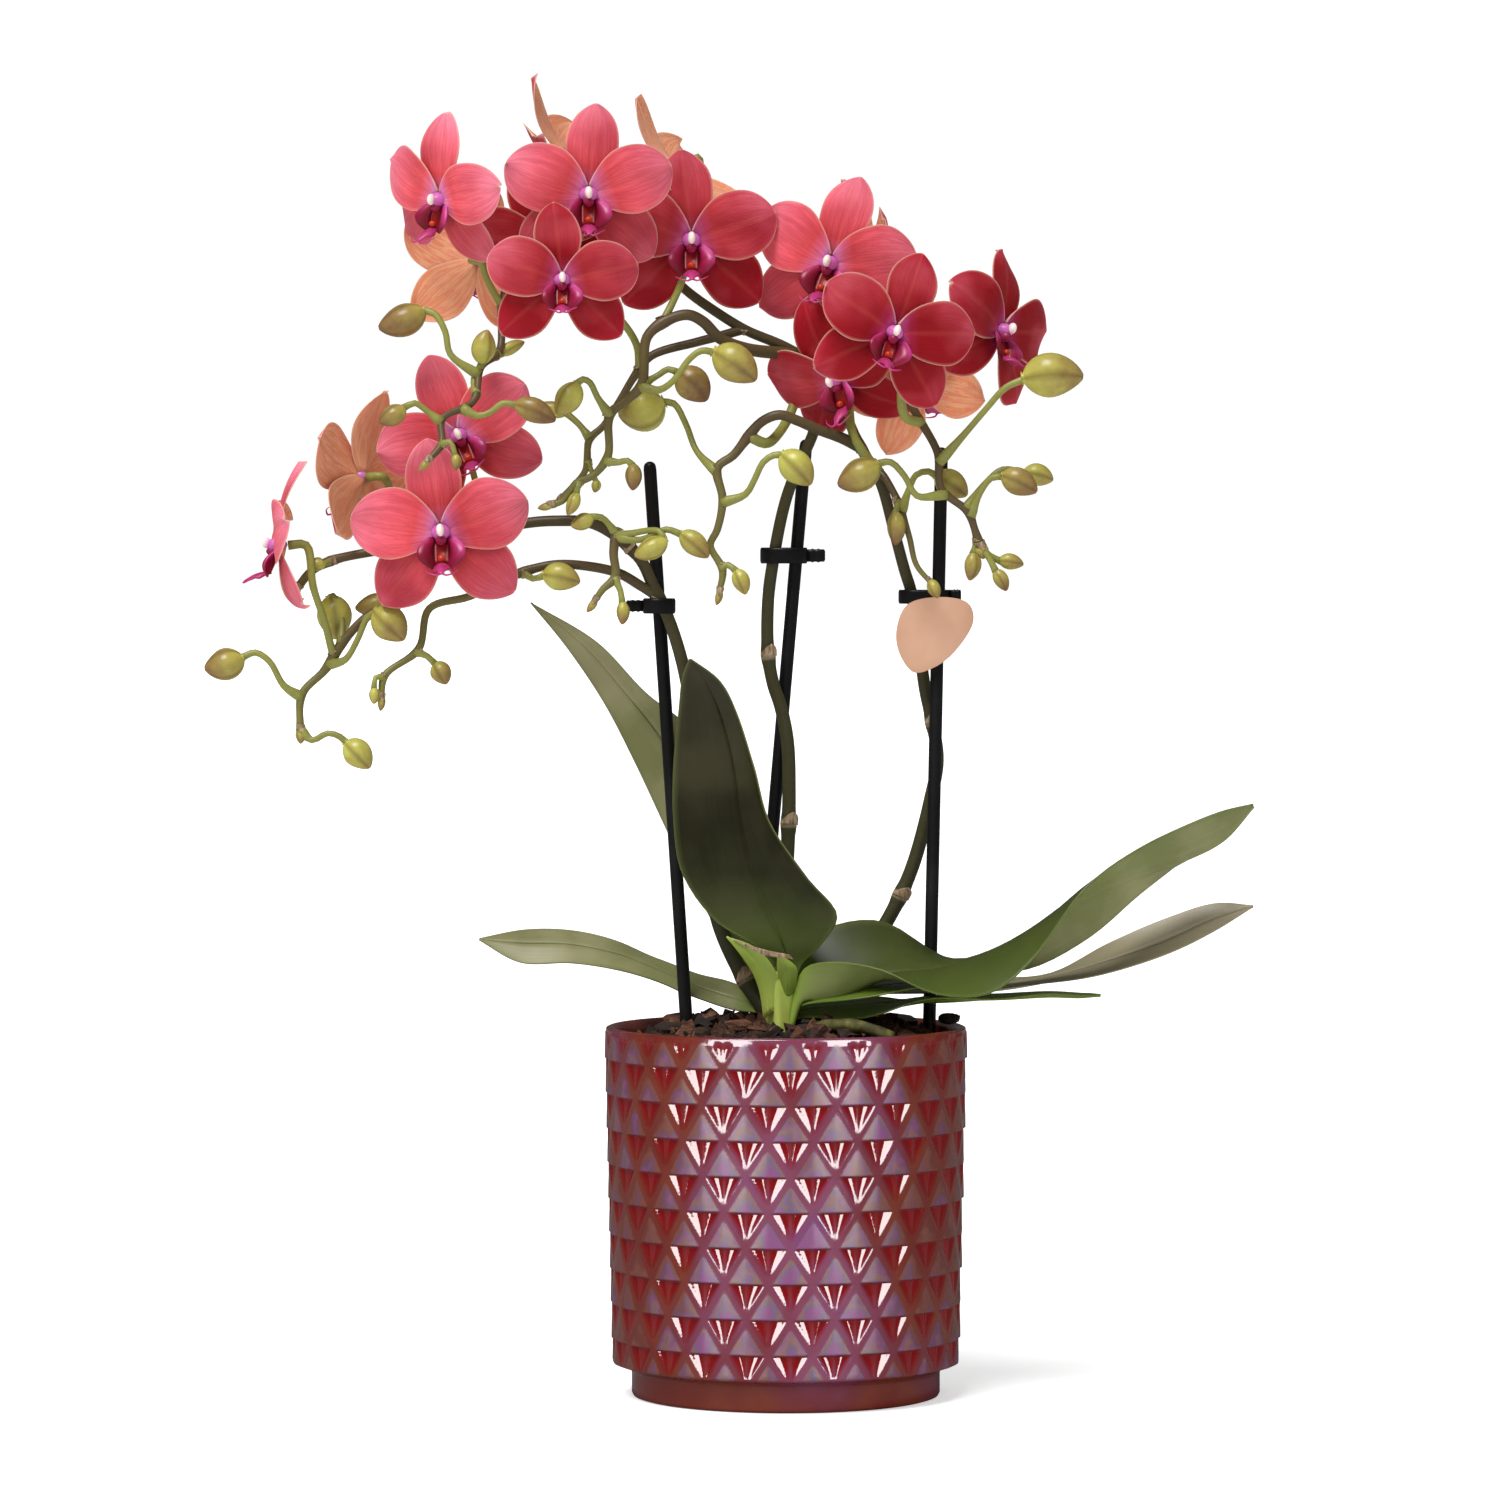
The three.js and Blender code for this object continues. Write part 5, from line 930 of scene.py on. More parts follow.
def add_bud(shells, radius, base, tip, ripeness):
    """An egg-shaped bud of closed sepals with three soft ribs and a slightly bent beak."""
    base, tip = np.array(base, float), np.array(tip, float)
    axis = tip - base
    length = np.linalg.norm(axis)
    start = base - axis / length * BUD_OVERLAP
    share = np.array([0, 0.02, 0.06, 0.12, 0.2, 0.3, 0.4, 0.5, 0.6, 0.7, 0.79, 0.87, 0.93, 0.97, 0.99])
    body = np.sin(np.pi * share ** 0.92) ** 0.62 * (1 - 0.12 * share)
    radii = radius * np.maximum(body / body.max(), 0.1)
    radii[0], radii[-1] = 0.35 * radius, 0.12 * radius
    bend = unit(np.cross(axis, [0.3, 1, 0.2]))
    line = start + np.outer(share, tip - start) + np.outer(np.sin(np.pi * share) * 0.05 * length, bend)
    seam = np.clip(-np.cos(3 * full_turn(BUD_SIDES)) * 2.2 - 1.2, 0, 1)
    shells.add(*tube(line, radii, BUD_SIDES, ribs=0.035), finish=1, tone=ripeness,
               along=[*np.repeat(share, BUD_SIDES), 0, 1], seam=[*np.tile(seam, len(share)), 0, 0])


def add_scale(shells, line, index, radius, towards, height, wrap=1.1):
    """A dry three-cornered scale that clasps the stem at a joint, on the side of what leaves it."""
    tangents, across, up = ring_frames(line)
    index = min(max(index, 0), len(line) - 1)
    flat = np.array(towards, float) - line[index]
    middle = math.atan2(flat.dot(up[index]), flat.dot(across[index]))
    size = 7
    grid = np.zeros((size, size, 3))
    for i in range(size):
        share = i / (size - 1)
        spread = wrap * (1 - share) ** 0.7 + 0.04
        out = radius * 1.03 + 0.14 + 0.3 * share ** 2
        for j in range(size):
            turn = middle + spread * (2 * j / (size - 1) - 1)
            grid[i, j] = (line[index] + tangents[index] * (share * height - 0.4)
                          + (across[index] * math.cos(turn) + up[index] * math.sin(turn)) * out)
    shells.add(*blade(grid, SCALE_THICKNESS), finish=2)


def add_stalk(shells, line, radii, route, width_along, sides, scale_height):
    """A stalk that leaves a stem near the first point of its route, with a dry scale below it."""
    start, index = nearest_on(line, route[0])
    stalk = middle_line([start, *route[1:]], STALK_STEP)
    shells.add(*tube(stalk, width_along(np.linspace(0, 1, len(stalk))), sides), age=STALK_AGE, ring=0.0)
    add_scale(shells, line, index, radii[index], stalk[min(3, len(stalk) - 1)], scale_height)


def add_stalks(shells, name, line, radii):
    """The buds and all stalks that grew on one stem or branch."""
    for radius, base, tip, stalk in BUDS.get(name, []):
        add_bud(shells, radius, base, tip, chance.uniform(0.1, 1.0))
        thick = min(STALK_RADIUS, 0.35 * radius + 0.35)
        if stalk:
            add_stalk(shells, line, radii, [*stalk, base],
                      lambda t: thick * (0.85 + 0.7 * np.exp(-(t * 5) ** 2) + 0.2 * t ** 6), 10, 1.8)
    for on, at, turn, nod, roll, _, thick, _, stalk in FLOWERS:
        if on == name:
            place, facing, _, _ = flower_frame(at, turn, nod, roll)
            free = [p for p in stalk[1:] if np.linalg.norm(np.array(p) - place) > STALK_CURVE + 1]
            ends = [place - facing * STALK_CURVE, place - facing * 0.9]
            add_stalk(shells, line, radii, [stalk[0], *free, *ends],
                      lambda t: thick * (0.85 + 0.3 * t ** 3 + 0.15 * (1 - t) ** 6), 12, 2.2)


def flower_frame(at, *angles):
    """A flower's middle and its three directions: facing, its right and its up."""
    turn, nod, roll = (math.radians(angle) for angle in angles)
    level = np.array([math.sin(turn), -math.cos(turn), 0])
    right = np.array([math.cos(turn), math.sin(turn), 0])
    facing = level * math.cos(nod) + np.array([0, 0, math.sin(nod)])
    up = unit(np.cross(facing, right))
    rolled_right = right * math.cos(roll) + up * math.sin(roll)
    rolled_up = up * math.cos(roll) - right * math.sin(roll)
    return np.array(at, float), facing, rolled_right, rolled_up


# %% Build the three stems
def add_stem(shells, name, route, thick, thin, young, joints=(), spike_rings=()):
    """A stem or branch with its age, its pale rings, all that grew on it and a tiny last bud."""
    line = middle_line(route, STEM_STEP)
    joints = [*joints, *(bud[3][0] for bud in BUDS.get(name, []) if bud[3])]
    joints += [flower[-1][0] for flower in FLOWERS if flower[0] == name]
    lower_half = line[:len(line) // 2, 2]
    ringed = [int(np.abs(lower_half - z).argmin()) for z in spike_rings]
    radii = swollen(line, thick, thin, joints + [line[index] for index in ringed])
    pale = np.zeros(len(line))
    for index in ringed:
        pale = np.maximum(pale, np.exp(-(np.linalg.norm(line - line[index], axis=1) / 0.9) ** 4))
    ages = young[0] + (young[1] - young[0]) * np.linspace(0, 1, len(line))
    age, ring_paint = ([*np.repeat(row, STEM_SIDES), row[0], row[-1]] for row in (ages, pale))
    shells.add(*tube(line, radii, STEM_SIDES), age=age, ring=ring_paint)
    ahead = unit(line[-1] - line[-4])
    add_bud(shells, radii[-1] * 1.25, line[-1] - ahead * 0.4, line[-1] + ahead * 3.6, 0.5)
    add_scale(shells, line, len(line) - 2, radii[-1], line[-2] + np.array([0.4, -1, 0.8]), 2.6, wrap=1.5)
    return line, radii, ringed


for name, (thick, thin, route) in STEMS.items():
    shells = Shells()
    grown = [(branch, *rest) for branch, (on, *rest) in BRANCHES.items() if on == name]
    line, radii, ringed = add_stem(shells, name, route, thick, thin, (0.0, 0.5),
                                   [branch[-1][0] for branch in grown], SPIKE_RINGS[name])
    for index in ringed:
        add_scale(shells, line, index, radii[index], line[index] + [1.5, -3, 0], 3.6, wrap=1.5)
    add_stalks(shells, name, line, radii)
    for branch, thick, thin, route in grown:
        start, index = nearest_on(line, route[0])
        branch_line, branch_radii, _ = add_stem(shells, branch, [start, *route[1:]], thick, thin, (0.3, 0.7))
        add_scale(shells, line, index, radii[index], branch_line[min(4, len(branch_line) - 1)], 3.8, wrap=1.4)
        add_stalks(shells, branch, branch_line, branch_radii)
    shells.piece(name + "_grown", [stem_tissue, bud_tissue, dry_tissue], name)

# %% [markdown]
# ## The flowers
# A moth orchid flower has three sepals (one up, two down), two broad petals that lie in front
# of them, a short column in the middle with a cream cap, and a lip: two side lobes that stand
# up like cupped hands, a small orange swelling between them, and a narrow middle lobe that
# points at the viewer and ends in two tendrils. All eighteen are the same kind but none is
# the same: each gets its own depth of colour, partly its own red and partly painted shade, and
# its own slight twist, cup and ruffle. A petal is a thin blade whose outline and bending are
# simple sums of how far along and how far across it a point lies. The same two numbers are
# painted on it for the veins and the rim.

# %% Petal tissue
petal_tissue, tree, surface, here = new_finish("orchid_petal_tissue")
along, across, rim_paint, back, tone = (add(tree, PAINTED, attribute_name=name).outputs["Fac"]
                                        for name in ("along", "across", "rim", "back", "tone"))
# living petals: soft satin skin of tiny bulging cells, light passes through, veins run lengthwise
spread = [add(tree, MATH, pair, "MULTIPLY") for pair in ([across, 7.0], [along, 1.6], [tone, 31.0])]
lengthwise = add(tree, "ShaderNodeCombineXYZ", spread)
broad_veins = add(tree, NOISE, {"Vector": lengthwise, "Scale": 1.0, "Detail": 3.0, "Roughness": 0.6})
fine = add(tree, "ShaderNodeVectorMath", [lengthwise, (3.4, 2.4, 1.0)], "MULTIPLY")
fine_veins = add(tree, NOISE, {"Vector": fine, "Scale": 1.0, "Detail": 2.0, "Distortion": 0.6})
vein_sum = add(tree, MATH, [broad_veins, fine_veins], "ADD")
veins = add(tree, RANGE, [vein_sum, 0.82, 1.22])
light_front = add(tree, RAMP, [along], stops=[(0.0, "D07CB8"), (0.1, "E090C4"), (0.19, "E8708C"),
                                              (0.3, "EA585E"), (0.62, "EE6A7A"), (1.0, "F48CA2")])
deep_front = add(tree, RAMP, [along], stops=[(0.0, "B85CA0"), (0.1, "A83C74"), (0.19, "94163A"),
                                             (0.3, "840409"), (0.7, "8E0610"), (1.0, "A81A2C")])
flushes = add(tree, NOISE, {"Vector": here, "Scale": 55.0, "Detail": 2.0})
shifted = add(tree, MATH, [flushes, 1.3, -0.65], "MULTIPLY_ADD")
depth = add(tree, MATH, [tone, shifted], "ADD", use_clamp=True)
ridge = add(tree, MATH, [add(tree, MATH, [fine_veins, 0.5], "SUBTRACT")], "ABSOLUTE")
thread = add(tree, MATH, [ridge, -13.0, 0.75], "MULTIPLY_ADD", use_clamp=True)
vein_share = add(tree, MATH, [veins, 0.3, add(tree, MATH, [thread, 0.18], "MULTIPLY")], "MULTIPLY_ADD")
midrib = add(tree, RANGE, [add(tree, MATH, [across], "ABSOLUTE"), 0.0, 0.14, 0.08, 0.0])
back_colour = add(tree, RAMP, [vein_sum], stops=[(0.8, "E09868"), (0.95, "DC8A6C"), (1.1, "D67A70"),
                                                 (1.25, "E4A880")])
rim_share = add(tree, MATH, [rim_paint, 0.45], "MULTIPLY")
colour = light_front
for share, tint in ((depth, deep_front), (vein_share, linear("940C28")), (midrib, linear("E07860")),
                    (back, back_colour), (rim_share, linear("F2D2BC"))):
    colour = add(tree, MIX, {0: share, 6: colour, 7: tint}, data_type="RGBA")
fill(tree, surface, {
    "Normal": add(tree, BUMP, {"Height": vein_sum, "Strength": 0.35, "Distance": 0.35 * MM}),
    "Base Color": colour, "Roughness": 0.5, "IOR": 1.4, "Specular IOR Level": 0.2, "Sheen Weight": 0.05,
    "Sheen Roughness": 0.4, "Subsurface Weight": 0.25, "Subsurface Radius": (1.0, 0.35, 0.3),
    "Subsurface Scale": 1.6 * MM})

# %% Lip and column tissue
heart_tissue, tree, surface, here = new_finish("orchid_lip_and_column_tissue")
# firm waxy tissue: orange on the swelling, crimson lobes, violet column and a cream cap
hue = add(tree, PAINTED, attribute_name="hue").outputs["Fac"]
dapple = add(tree, NOISE, {"Vector": here, "Scale": 600.0, "Detail": 2.0})
hue_mix = add(tree, MATH, [dapple, 0.12, add(tree, MATH, [hue, 0.06], "SUBTRACT")], "MULTIPLY_ADD")
fill(tree, surface, {
    "Base Color": add(tree, RAMP, [hue_mix],
                      stops=[(0.0, "D8481C"), (0.14, "A81C14"), (0.28, "6C0618"), (0.45, "8C1038"),
                             (0.62, "C03C80"), (0.8, "D07CCC"), (0.9, "E8CCDC"), (1.0, "F6ECD4")]),
    "Roughness": 0.36, "IOR": 1.45, "Subsurface Weight": 0.25, "Subsurface Radius": (1.0, 0.5, 0.6),
    "Subsurface Scale": 0.9 * MM})

# %% The outline and the bending of a tepal
ALONG = 0.05 + 0.9487 * np.sin(np.linspace(0, math.pi / 2, 22))
ACROSS = np.array([-1, -0.965, -0.9, -0.79, -0.64, -0.47, -0.3, -0.15, -0.05,
                   0.05, 0.15, 0.3, 0.47, 0.64, 0.79, 0.9, 0.965, 1])
FULL = np.linspace(0.01, 0.99, 99)
RIM_WIDTH = 0.27
TEPAL_RIM, TEPAL_BODY, TEPAL_FOOT = 0.24, 0.4, 0.5  # thickness: at the rim, more inside, more at the foot
# kind, direction, length and full width as shares of half the span, forward step in mm, and how
# much more deeply than the rest it is coloured, partly its own red and partly painted shade from
# the tepals above it: the two lower sepals most
TEPALS = [("sepal", 90, 1.06, 0.62, 0.0, 0.15), ("sepal", -42, 1.04, 0.68, 0.0, 0.35),
          ("sepal", -138, 1.04, 0.68, 0.0, 0.35), ("petal", 18, 1.02, 0.8, 1.3, 0.05),
          ("petal", 162, 1.02, 0.8, 1.3, 0.0)]


def outline(share, kind):
    """Half the width of a tepal, from 0 to 1, at a share of its length."""
    power, tip = {"sepal": (0.74, 0.74), "petal": (0.62, 0.64)}[kind]
    width = share ** power * (1 - share ** 2.0) ** tip
    return width / (FULL ** power * (1 - FULL ** 2.0) ** tip).max()


def add_tepal(shells, flower, tepal, half_span, tone, whim):
    """One sepal or petal; whim is the flower's own source of chance."""
    middle, facing, right, up = flower
    kind, angle, length, width, forward, deeper_and_shaded = tepal
    length, width = length * half_span, width * half_span
    turn = math.radians(angle + whim.uniform(-5, 5))
    outward = right * math.cos(turn) + up * math.sin(turn)
    side = np.cross(facing, outward)
    t, u = np.meshgrid(ALONG, ACROSS, indexing="ij")
    half = width / 2 * outline(t, kind)
    ruffle = 1 + 0.02 * np.sin(11 * t + whim.uniform(0, 6)) * np.abs(u)
    bend = whim.uniform(-0.05, 0.05) * length
    phase = whim.uniform(0, 6)
    x = u * half * ruffle + bend * t ** 2
    y = t * length
    if kind == "sepal":
        z = 0.07 * length * np.sin(math.pi * t) - (0.10 + whim.uniform(0, 0.08)) * length * t ** 2
        z = z + width * u ** 2 * (0.10 - 0.20 * t)
    else:
        z = 0.10 * length * np.sin(math.pi * t * 0.9) - (0.05 + whim.uniform(0, 0.08)) * length * t ** 2
        z = z + width * (0.05 * np.abs(u) ** 1.5 * (1 - 1.8 * t)) + 0.35 * np.sin(4.2 * u + 5 * t + phase) * t
    z = z - 0.28 * np.exp(-(u / 0.1) ** 2) * (1 - t) + 0.12 * u * width * whim.uniform(-0.5, 0.9) * t
    grid = (middle + outward * y[..., None] + side * x[..., None] + facing * (z + forward)[..., None])
    from_rim = np.minimum((1 - np.abs(u)) * half, (1 - t) * length)
    thickness = (TEPAL_RIM + TEPAL_BODY * smoothstep(from_rim / 4)
                 + TEPAL_FOOT * np.exp(-((t - 0.05) / 0.08) ** 2))
    # the tone painted here holds the tepal's extra depth, partly its own red and partly painted shade
    shells.add(*blade(grid, thickness), along=t, across=u, rim=np.exp(-(from_rim / RIM_WIDTH) ** 2),
               back=1 - np.repeat([0, 1], t.size), tone=min(tone + deeper_and_shaded, 1.0))


# %% The lip and the column
def square_grid(rows, columns, low=0):
    """How far along and how far across each point of a grid lies."""
    return np.meshgrid(np.linspace(0, 1, rows), np.linspace(low, 1, columns), indexing="ij")


def add_heart(shells, flower, scale, whim):
    """Column, cap, side lobes, swelling and middle lobe, each a closed shell."""
    middle, facing, right, up = flower

    def put(x, y, z):
        x, y, z = (row[..., None] * scale for row in np.broadcast_arrays(np.asarray(x, float), y, z))
        return middle + right * x + up * y + facing * z

    def egg(centre, radii, hues):
        share = np.linspace(0.03, 0.97, 9)
        turn = full_turn(14)
        rings = [put(centre[0] + radii[0] * math.sin(math.pi * s) * np.cos(turn),
                     centre[1] + radii[1] * math.sin(math.pi * s) * np.sin(turn),
                     centre[2] + radii[2] * math.cos(math.pi * s)) for s in share]
        painted = hues[1] + (hues[0] - hues[1]) * np.array([*np.repeat(share, 14), 0, 1])
        shells.add(*loft(rings), finish=1, hue=painted)

    def sheet(x, y, z, thickness, hue):
        shells.add(*blade(put(x, y, z), thickness), finish=1, hue=hue)

    # the column, its throat, its cap and the swelling
    egg((0, 0.2, 2.6), (2.7, 2.3, 3.4), (0.78, 0.7))
    egg((0, -1.9, 3.8), (1.6, 1.6, 2.3), (0.66, 0.42))
    egg((0, 0.8, 6.0), (1.15, 1.85, 1.5), (0.86, 0.99))
    egg((0, -7.2, 6.0), (1.15, 1.0, 1.1), (0.02, 0.1))
    # the side lobes
    a, b = square_grid(11, 8)
    for hand in (-1, 1):
        x = 1.5 + 0.9 * np.sin(math.pi * a) + 4.5 * b * np.sin(math.pi * (0.1 + 0.84 * a)) ** 0.8
        y = -1.4 - 8.4 * a + 0.9 * b * (0.5 - a)
        z = 2.4 + 3.2 * a + 2.6 * np.sin(math.pi * a) * b + 1.2 * np.sin(math.pi * b) * np.sin(math.pi * a)
        sheet(hand * x, y, z, 0.45, 0.36 + 0.3 * smoothstep(1 - a) * b + 0.06 * hand)
    # the floor of the lip between them, and the middle lobe
    t, u = square_grid(8, 7, low=-1)
    sheet(u * 2.0, -2.4 - 6.4 * t, 1.8 + 2.9 * t + 0.6 * u ** 2, 0.5, 0.24 - 0.12 * t * (1 - u ** 2))
    t, u = square_grid(14, 9, low=-1)
    half = np.interp(t, [0, 0.25, 0.5, 0.62, 0.8, 1], [1.3, 2.0, 2.7, 2.0, 1.1, 0.4])
    sheet(u * half, -8.6 - 3.0 * t + 0.9 * np.sin(math.pi * t) - 0.22 * (u * half) ** 2,
          4.6 + 8.6 * t - 0.2 * np.abs(u) * half, 0.5, 0.48 + 0.12 * t)
    # the two tendrils
    for hand in (-1, 1):
        curl = whim.uniform(-0.6, 0.8)
        route = [put(hand * x, y, z) for x, y, z in
                 ((0.3, -11.4, 12.6), (1.3, -11.9 + 0.2 * curl, 13.4), (2.9, -11.4 + curl, 12.8),
                  (4.2, -10.8 + curl, 11.4), (4.8, -10.4 + curl, 10.0))]
        line = middle_line(route, 0.9)
        shells.add(*tube(line, np.linspace(0.34, 0.12, len(line)), sides=6), finish=1, hue=0.58)


# %% Build the flowers
MODELLED_SPAN = 51
# each flower's tone is partly its own depth of red and partly painted shade
for number, (_, at, turn, nod, roll, span, _, tone, _) in enumerate(FLOWERS, start=1):
    shells = Shells()
    flower = flower_frame(at, turn, nod, roll)
    whim = random.Random(100 + number)
    for tepal in TEPALS:
        add_tepal(shells, flower, tepal, span / 2, tone, whim)
    add_heart(shells, flower, span / MODELLED_SPAN, whim)
    name = f"flower_{number:02d}"
    shells.piece(name + "_open", [petal_tissue, heart_tissue], name)

# %% [markdown]
# ## The leaves and the crown
# The leaves are thick and leathery, folded along the midrib, dark olive brown and half glossy
# above, paler and duller below, with a thin light edge. Each is a blade through its near
# edge, its midrib and its far edge, rounded between them, so the fold stays where the CAD has
# it and the halves swell softly as real ones do. At the bottom they clasp each other in a
# short fan, the crown, which their shade keeps a bright yellow green.

# %% Leaf tissue
def leaf_finish(name, upper, lower, edge, warm):
    """Leaf skin: colours of the upper and lower side from dark to light, of the edge and of age."""
    made, tree, surface, here = new_finish(name)
    along, across, rim_paint, back, tone, pallor = (
        add(tree, PAINTED, attribute_name=value).outputs["Fac"]
        for value in ("along", "across", "rim", "back", "tone", "pallor"))
    spread = [add(tree, MATH, pair, "MULTIPLY") for pair in ([across, 26.0], [along, 3.0])]
    lengthwise = add(tree, "ShaderNodeCombineXYZ", spread)
    veins = add(tree, NOISE, {"Vector": lengthwise, "Scale": 1.0, "Detail": 2.0})
    patches = add(tree, NOISE, {"Vector": here, "Scale": 42.0, "Detail": 3.0, "Roughness": 0.55})
    mixed = add(tree, MATH, [veins, 0.14, add(tree, MATH, [patches, 0.86], "MULTIPLY")], "MULTIPLY_ADD")
    colour = add(tree, RAMP, [mixed], stops=zip((0.36, 0.47, 0.56, 0.66), upper))
    lower_colour = add(tree, RAMP, [mixed], stops=zip((0.4, 0.62), lower))
    rim_share = add(tree, MATH, [rim_paint, 0.45], "MULTIPLY")
    at_foot = add(tree, RANGE, [along, 0.0, 0.16, 0.95, 0.0], interpolation_type="SMOOTHSTEP")
    # the yellow green 5C7026, mixed in second to last, is partly the leaf's own green and partly painted
    # light on lit leaves
    for share, tint in ((back, lower_colour), (rim_share, linear(edge)), (tone, linear(warm)),
                        (pallor, linear("5C7026")), (at_foot, linear("88A23C"))):
        colour = add(tree, MIX, {0: share, 6: colour, 7: tint}, data_type="RGBA")
    fill(tree, surface, {
        "Normal": add(tree, BUMP, {"Height": mixed, "Strength": 0.2, "Distance": 0.3 * MM}),
        "Roughness": add(tree, RANGE, {0: patches, 3: 0.26, 4: 0.44}), "Base Color": colour, "IOR": 1.4,
        "Subsurface Weight": 0.06, "Subsurface Scale": 1.0 * MM})
    return made


# a thick waxy skin over dark green flesh: veins 1 mm apart, and blotches about 24 mm across
leaf_tissue = leaf_finish("leathery_leaf_tissue", ["1A190B", "20200D", "282812", "302D18"],
                          ["74774A", "929068"], "5A6430", "968A72")
young_tissue = leaf_finish("young_leaf_tissue", ["526420", "64782A", "748834", "84963E"],
                           ["66742E", "7C8440"], "8C9C48", "5E6C2C")

# %% Leaf blades
ACROSS_LEAF = np.array([-1, -0.975, -0.92, -0.8, -0.62, -0.42, -0.24, -0.1, -0.035, 0,
                        0.035, 0.1, 0.24, 0.42, 0.62, 0.8, 0.92, 0.975, 1])
LEAF_THICKNESS = 1.7
LEAF_EDGE = 0.45
LEAF_WAVE = 0.35
GROOVE_DEPTH = 0.45
TIP_LENGTH = 60
LEAF_END = 0.993  # the last points lie just short of the tip
# the upper side of a leaf faces up and a little towards the viewer
UPPER_SIDE = [0, -0.45, 0.9]
# leaves that curve away and show the viewer their undersides
TURNED_OVER = ["leaf_back_upright", "leaf_low_left"]


def add_leaf(shells, stations, thick, edge, wave, rows=54, turned_over=False, warmth=(0.0, 0.0),
             pallor=(0.0, 0.0), far_share=1.0):
    """A leaf through its three lines, rounded between them, with a groove over the midrib."""
    lines = [[station[min(i, len(station) - 1)] for station in stations] for i in range(3)]
    closing_up = np.sin(np.linspace(0, math.pi / 2, rows))
    places = LEAF_END * closing_up * 0.45 + LEAF_END * np.linspace(0, 1, rows) * 0.55
    near, middle, far = (curve(line, places) for line in lines)
    low, centre, high = near[:, None], middle[:, None], far[:, None]
    s = ACROSS_LEAF[None, :, None]
    rounded = low * s * (s - 1) / 2 + centre * (1 - s * s) + high * s * (s + 1) / 2
    straight = centre + np.where(s < 0, (low - centre) * -s, (high - centre) * s)
    grid = 0.6 * rounded + 0.4 * straight
    normals = blade_normals(grid)
    nearness = (1 - ACROSS_LEAF) / 2
    if normals.mean(axis=(0, 1)).dot(UPPER_SIDE) < 0:
        grid, normals, nearness = grid[:, ::-1], -normals[:, ::-1], nearness[::-1]
    t, across = np.meshgrid(places, ACROSS_LEAF, indexing="ij")
    groove = GROOVE_DEPTH * np.exp(-(across / 0.05) ** 2)
    ripple = wave * np.abs(across) ** 2 * np.sin(17 * t + 2 * np.sign(across)) * np.sin(math.pi * t)
    grid = grid + normals * (ripple - groove)[..., None]
    width = np.linalg.norm(far - near, axis=1)[:, None] / 2
    from_rim = np.minimum((1 - np.abs(across)) * width, (1 - t) * TIP_LENGTH)
    body = edge + (thick - edge) * smoothstep(from_rim / 7) * (0.7 + 0.3 * np.exp(-(across / 0.2) ** 2))
    # painted light: the yellow green share runs from foot to tip as listed, and is weaker on the far half
    # when far_share is below 1
    warm, pale = (np.clip(foot + (tip - foot) * t, 0, 1) for foot, tip in (warmth, pallor))
    shells.add(*blade(grid, body), along=t, across=across, tone=warm, rim=np.exp(-(from_rim / 0.5) ** 2),
               pallor=pale * (far_share + (1 - far_share) * nearness),
               back=np.abs(np.repeat([0, 1], t.size) - turned_over))


# the near half of the big right leaf catches the light, so most of its painted light stays on that half
for name, (warmth, pallor, stations) in LEAVES.items():
    shells = Shells()
    add_leaf(shells, stations, LEAF_THICKNESS, LEAF_EDGE, LEAF_WAVE, turned_over=name in TURNED_OVER,
             warmth=warmth, pallor=pallor, far_share=0.25 if name == "leaf_big_right" else 1.0)
    shells.piece(name + "_blade", [leaf_tissue], name)
shells = Shells()
add_leaf(shells, FOLDED_YOUNG_LEAF, 1.4, 0.5, 0.0, rows=20)
shells.piece("young_leaf_blade", [young_tissue], "young_leaf")
shells = Shells()
# dried up, it has rolled to about half its width
rolled = [[(np.array(point) + station[len(station) // 2]) / 2 for point in station] for station in DRY_SHEATH]
add_leaf(shells, rolled, 0.6, 0.25, 0.2, rows=18)
shells.piece("dry_leaf_tip_blade", [dry_tissue], "dry_leaf_tip")

# %% Crown: the clasping leaf bases
crown_tissue, tree, surface, here = new_finish("leaf_base_tissue")
heights = add(tree, "ShaderNodeSeparateXYZ", [here]).outputs[2]
# fleshy leaf bases: smooth and waxy, pale at the foot, bright yellow green above
blotches = add(tree, NOISE, {"Vector": here, "Scale": 90.0, "Detail": 3.0})
tall = add(tree, RANGE, [heights, 98 * MM, 124 * MM])
level = add(tree, MATH, [blotches, 0.4, add(tree, MATH, [tall, 0.2], "SUBTRACT")], "MULTIPLY_ADD")
fill(tree, surface, {
    "Base Color": add(tree, RAMP, [level], stops=[(0.0, "C2C26C"), (0.3, "C2CC66"), (0.6, "B4C45A"),
                                                  (1.0, "98AE48")]),
    "Roughness": 0.38, "IOR": 1.45, "Subsurface Weight": 0.15, "Subsurface Scale": 1.2 * MM})

CROWN_PROFILE = [  # height and how far it swells
    (96, 0.9), (97, 1.1), (103, 1.15), (107, 0.95), (112, 1.05), (116, 1.2), (119, 1.2), (121.5, 0.9),
    (122.5, 0.5)]
shells = Shells()
turns = full_turn(40)
rings = []
for z, scale in CROWN_PROFILE:
    fold = 1 + 0.06 * np.cos(6 * turns + z * 0.1)
    deep = 9.7 * min(1, scale)
    rings.append(ring(-1.3 + 4.5 * scale * fold * np.cos(turns), -4 + deep * fold * np.sin(turns), z))
shells.add(*loft(rings))
add_leaf(shells, LEFT_ARM, 1.8, 0.5, 0.0, rows=24)
shells.piece("crown_of_leaf_bases", [crown_tissue], "crown")

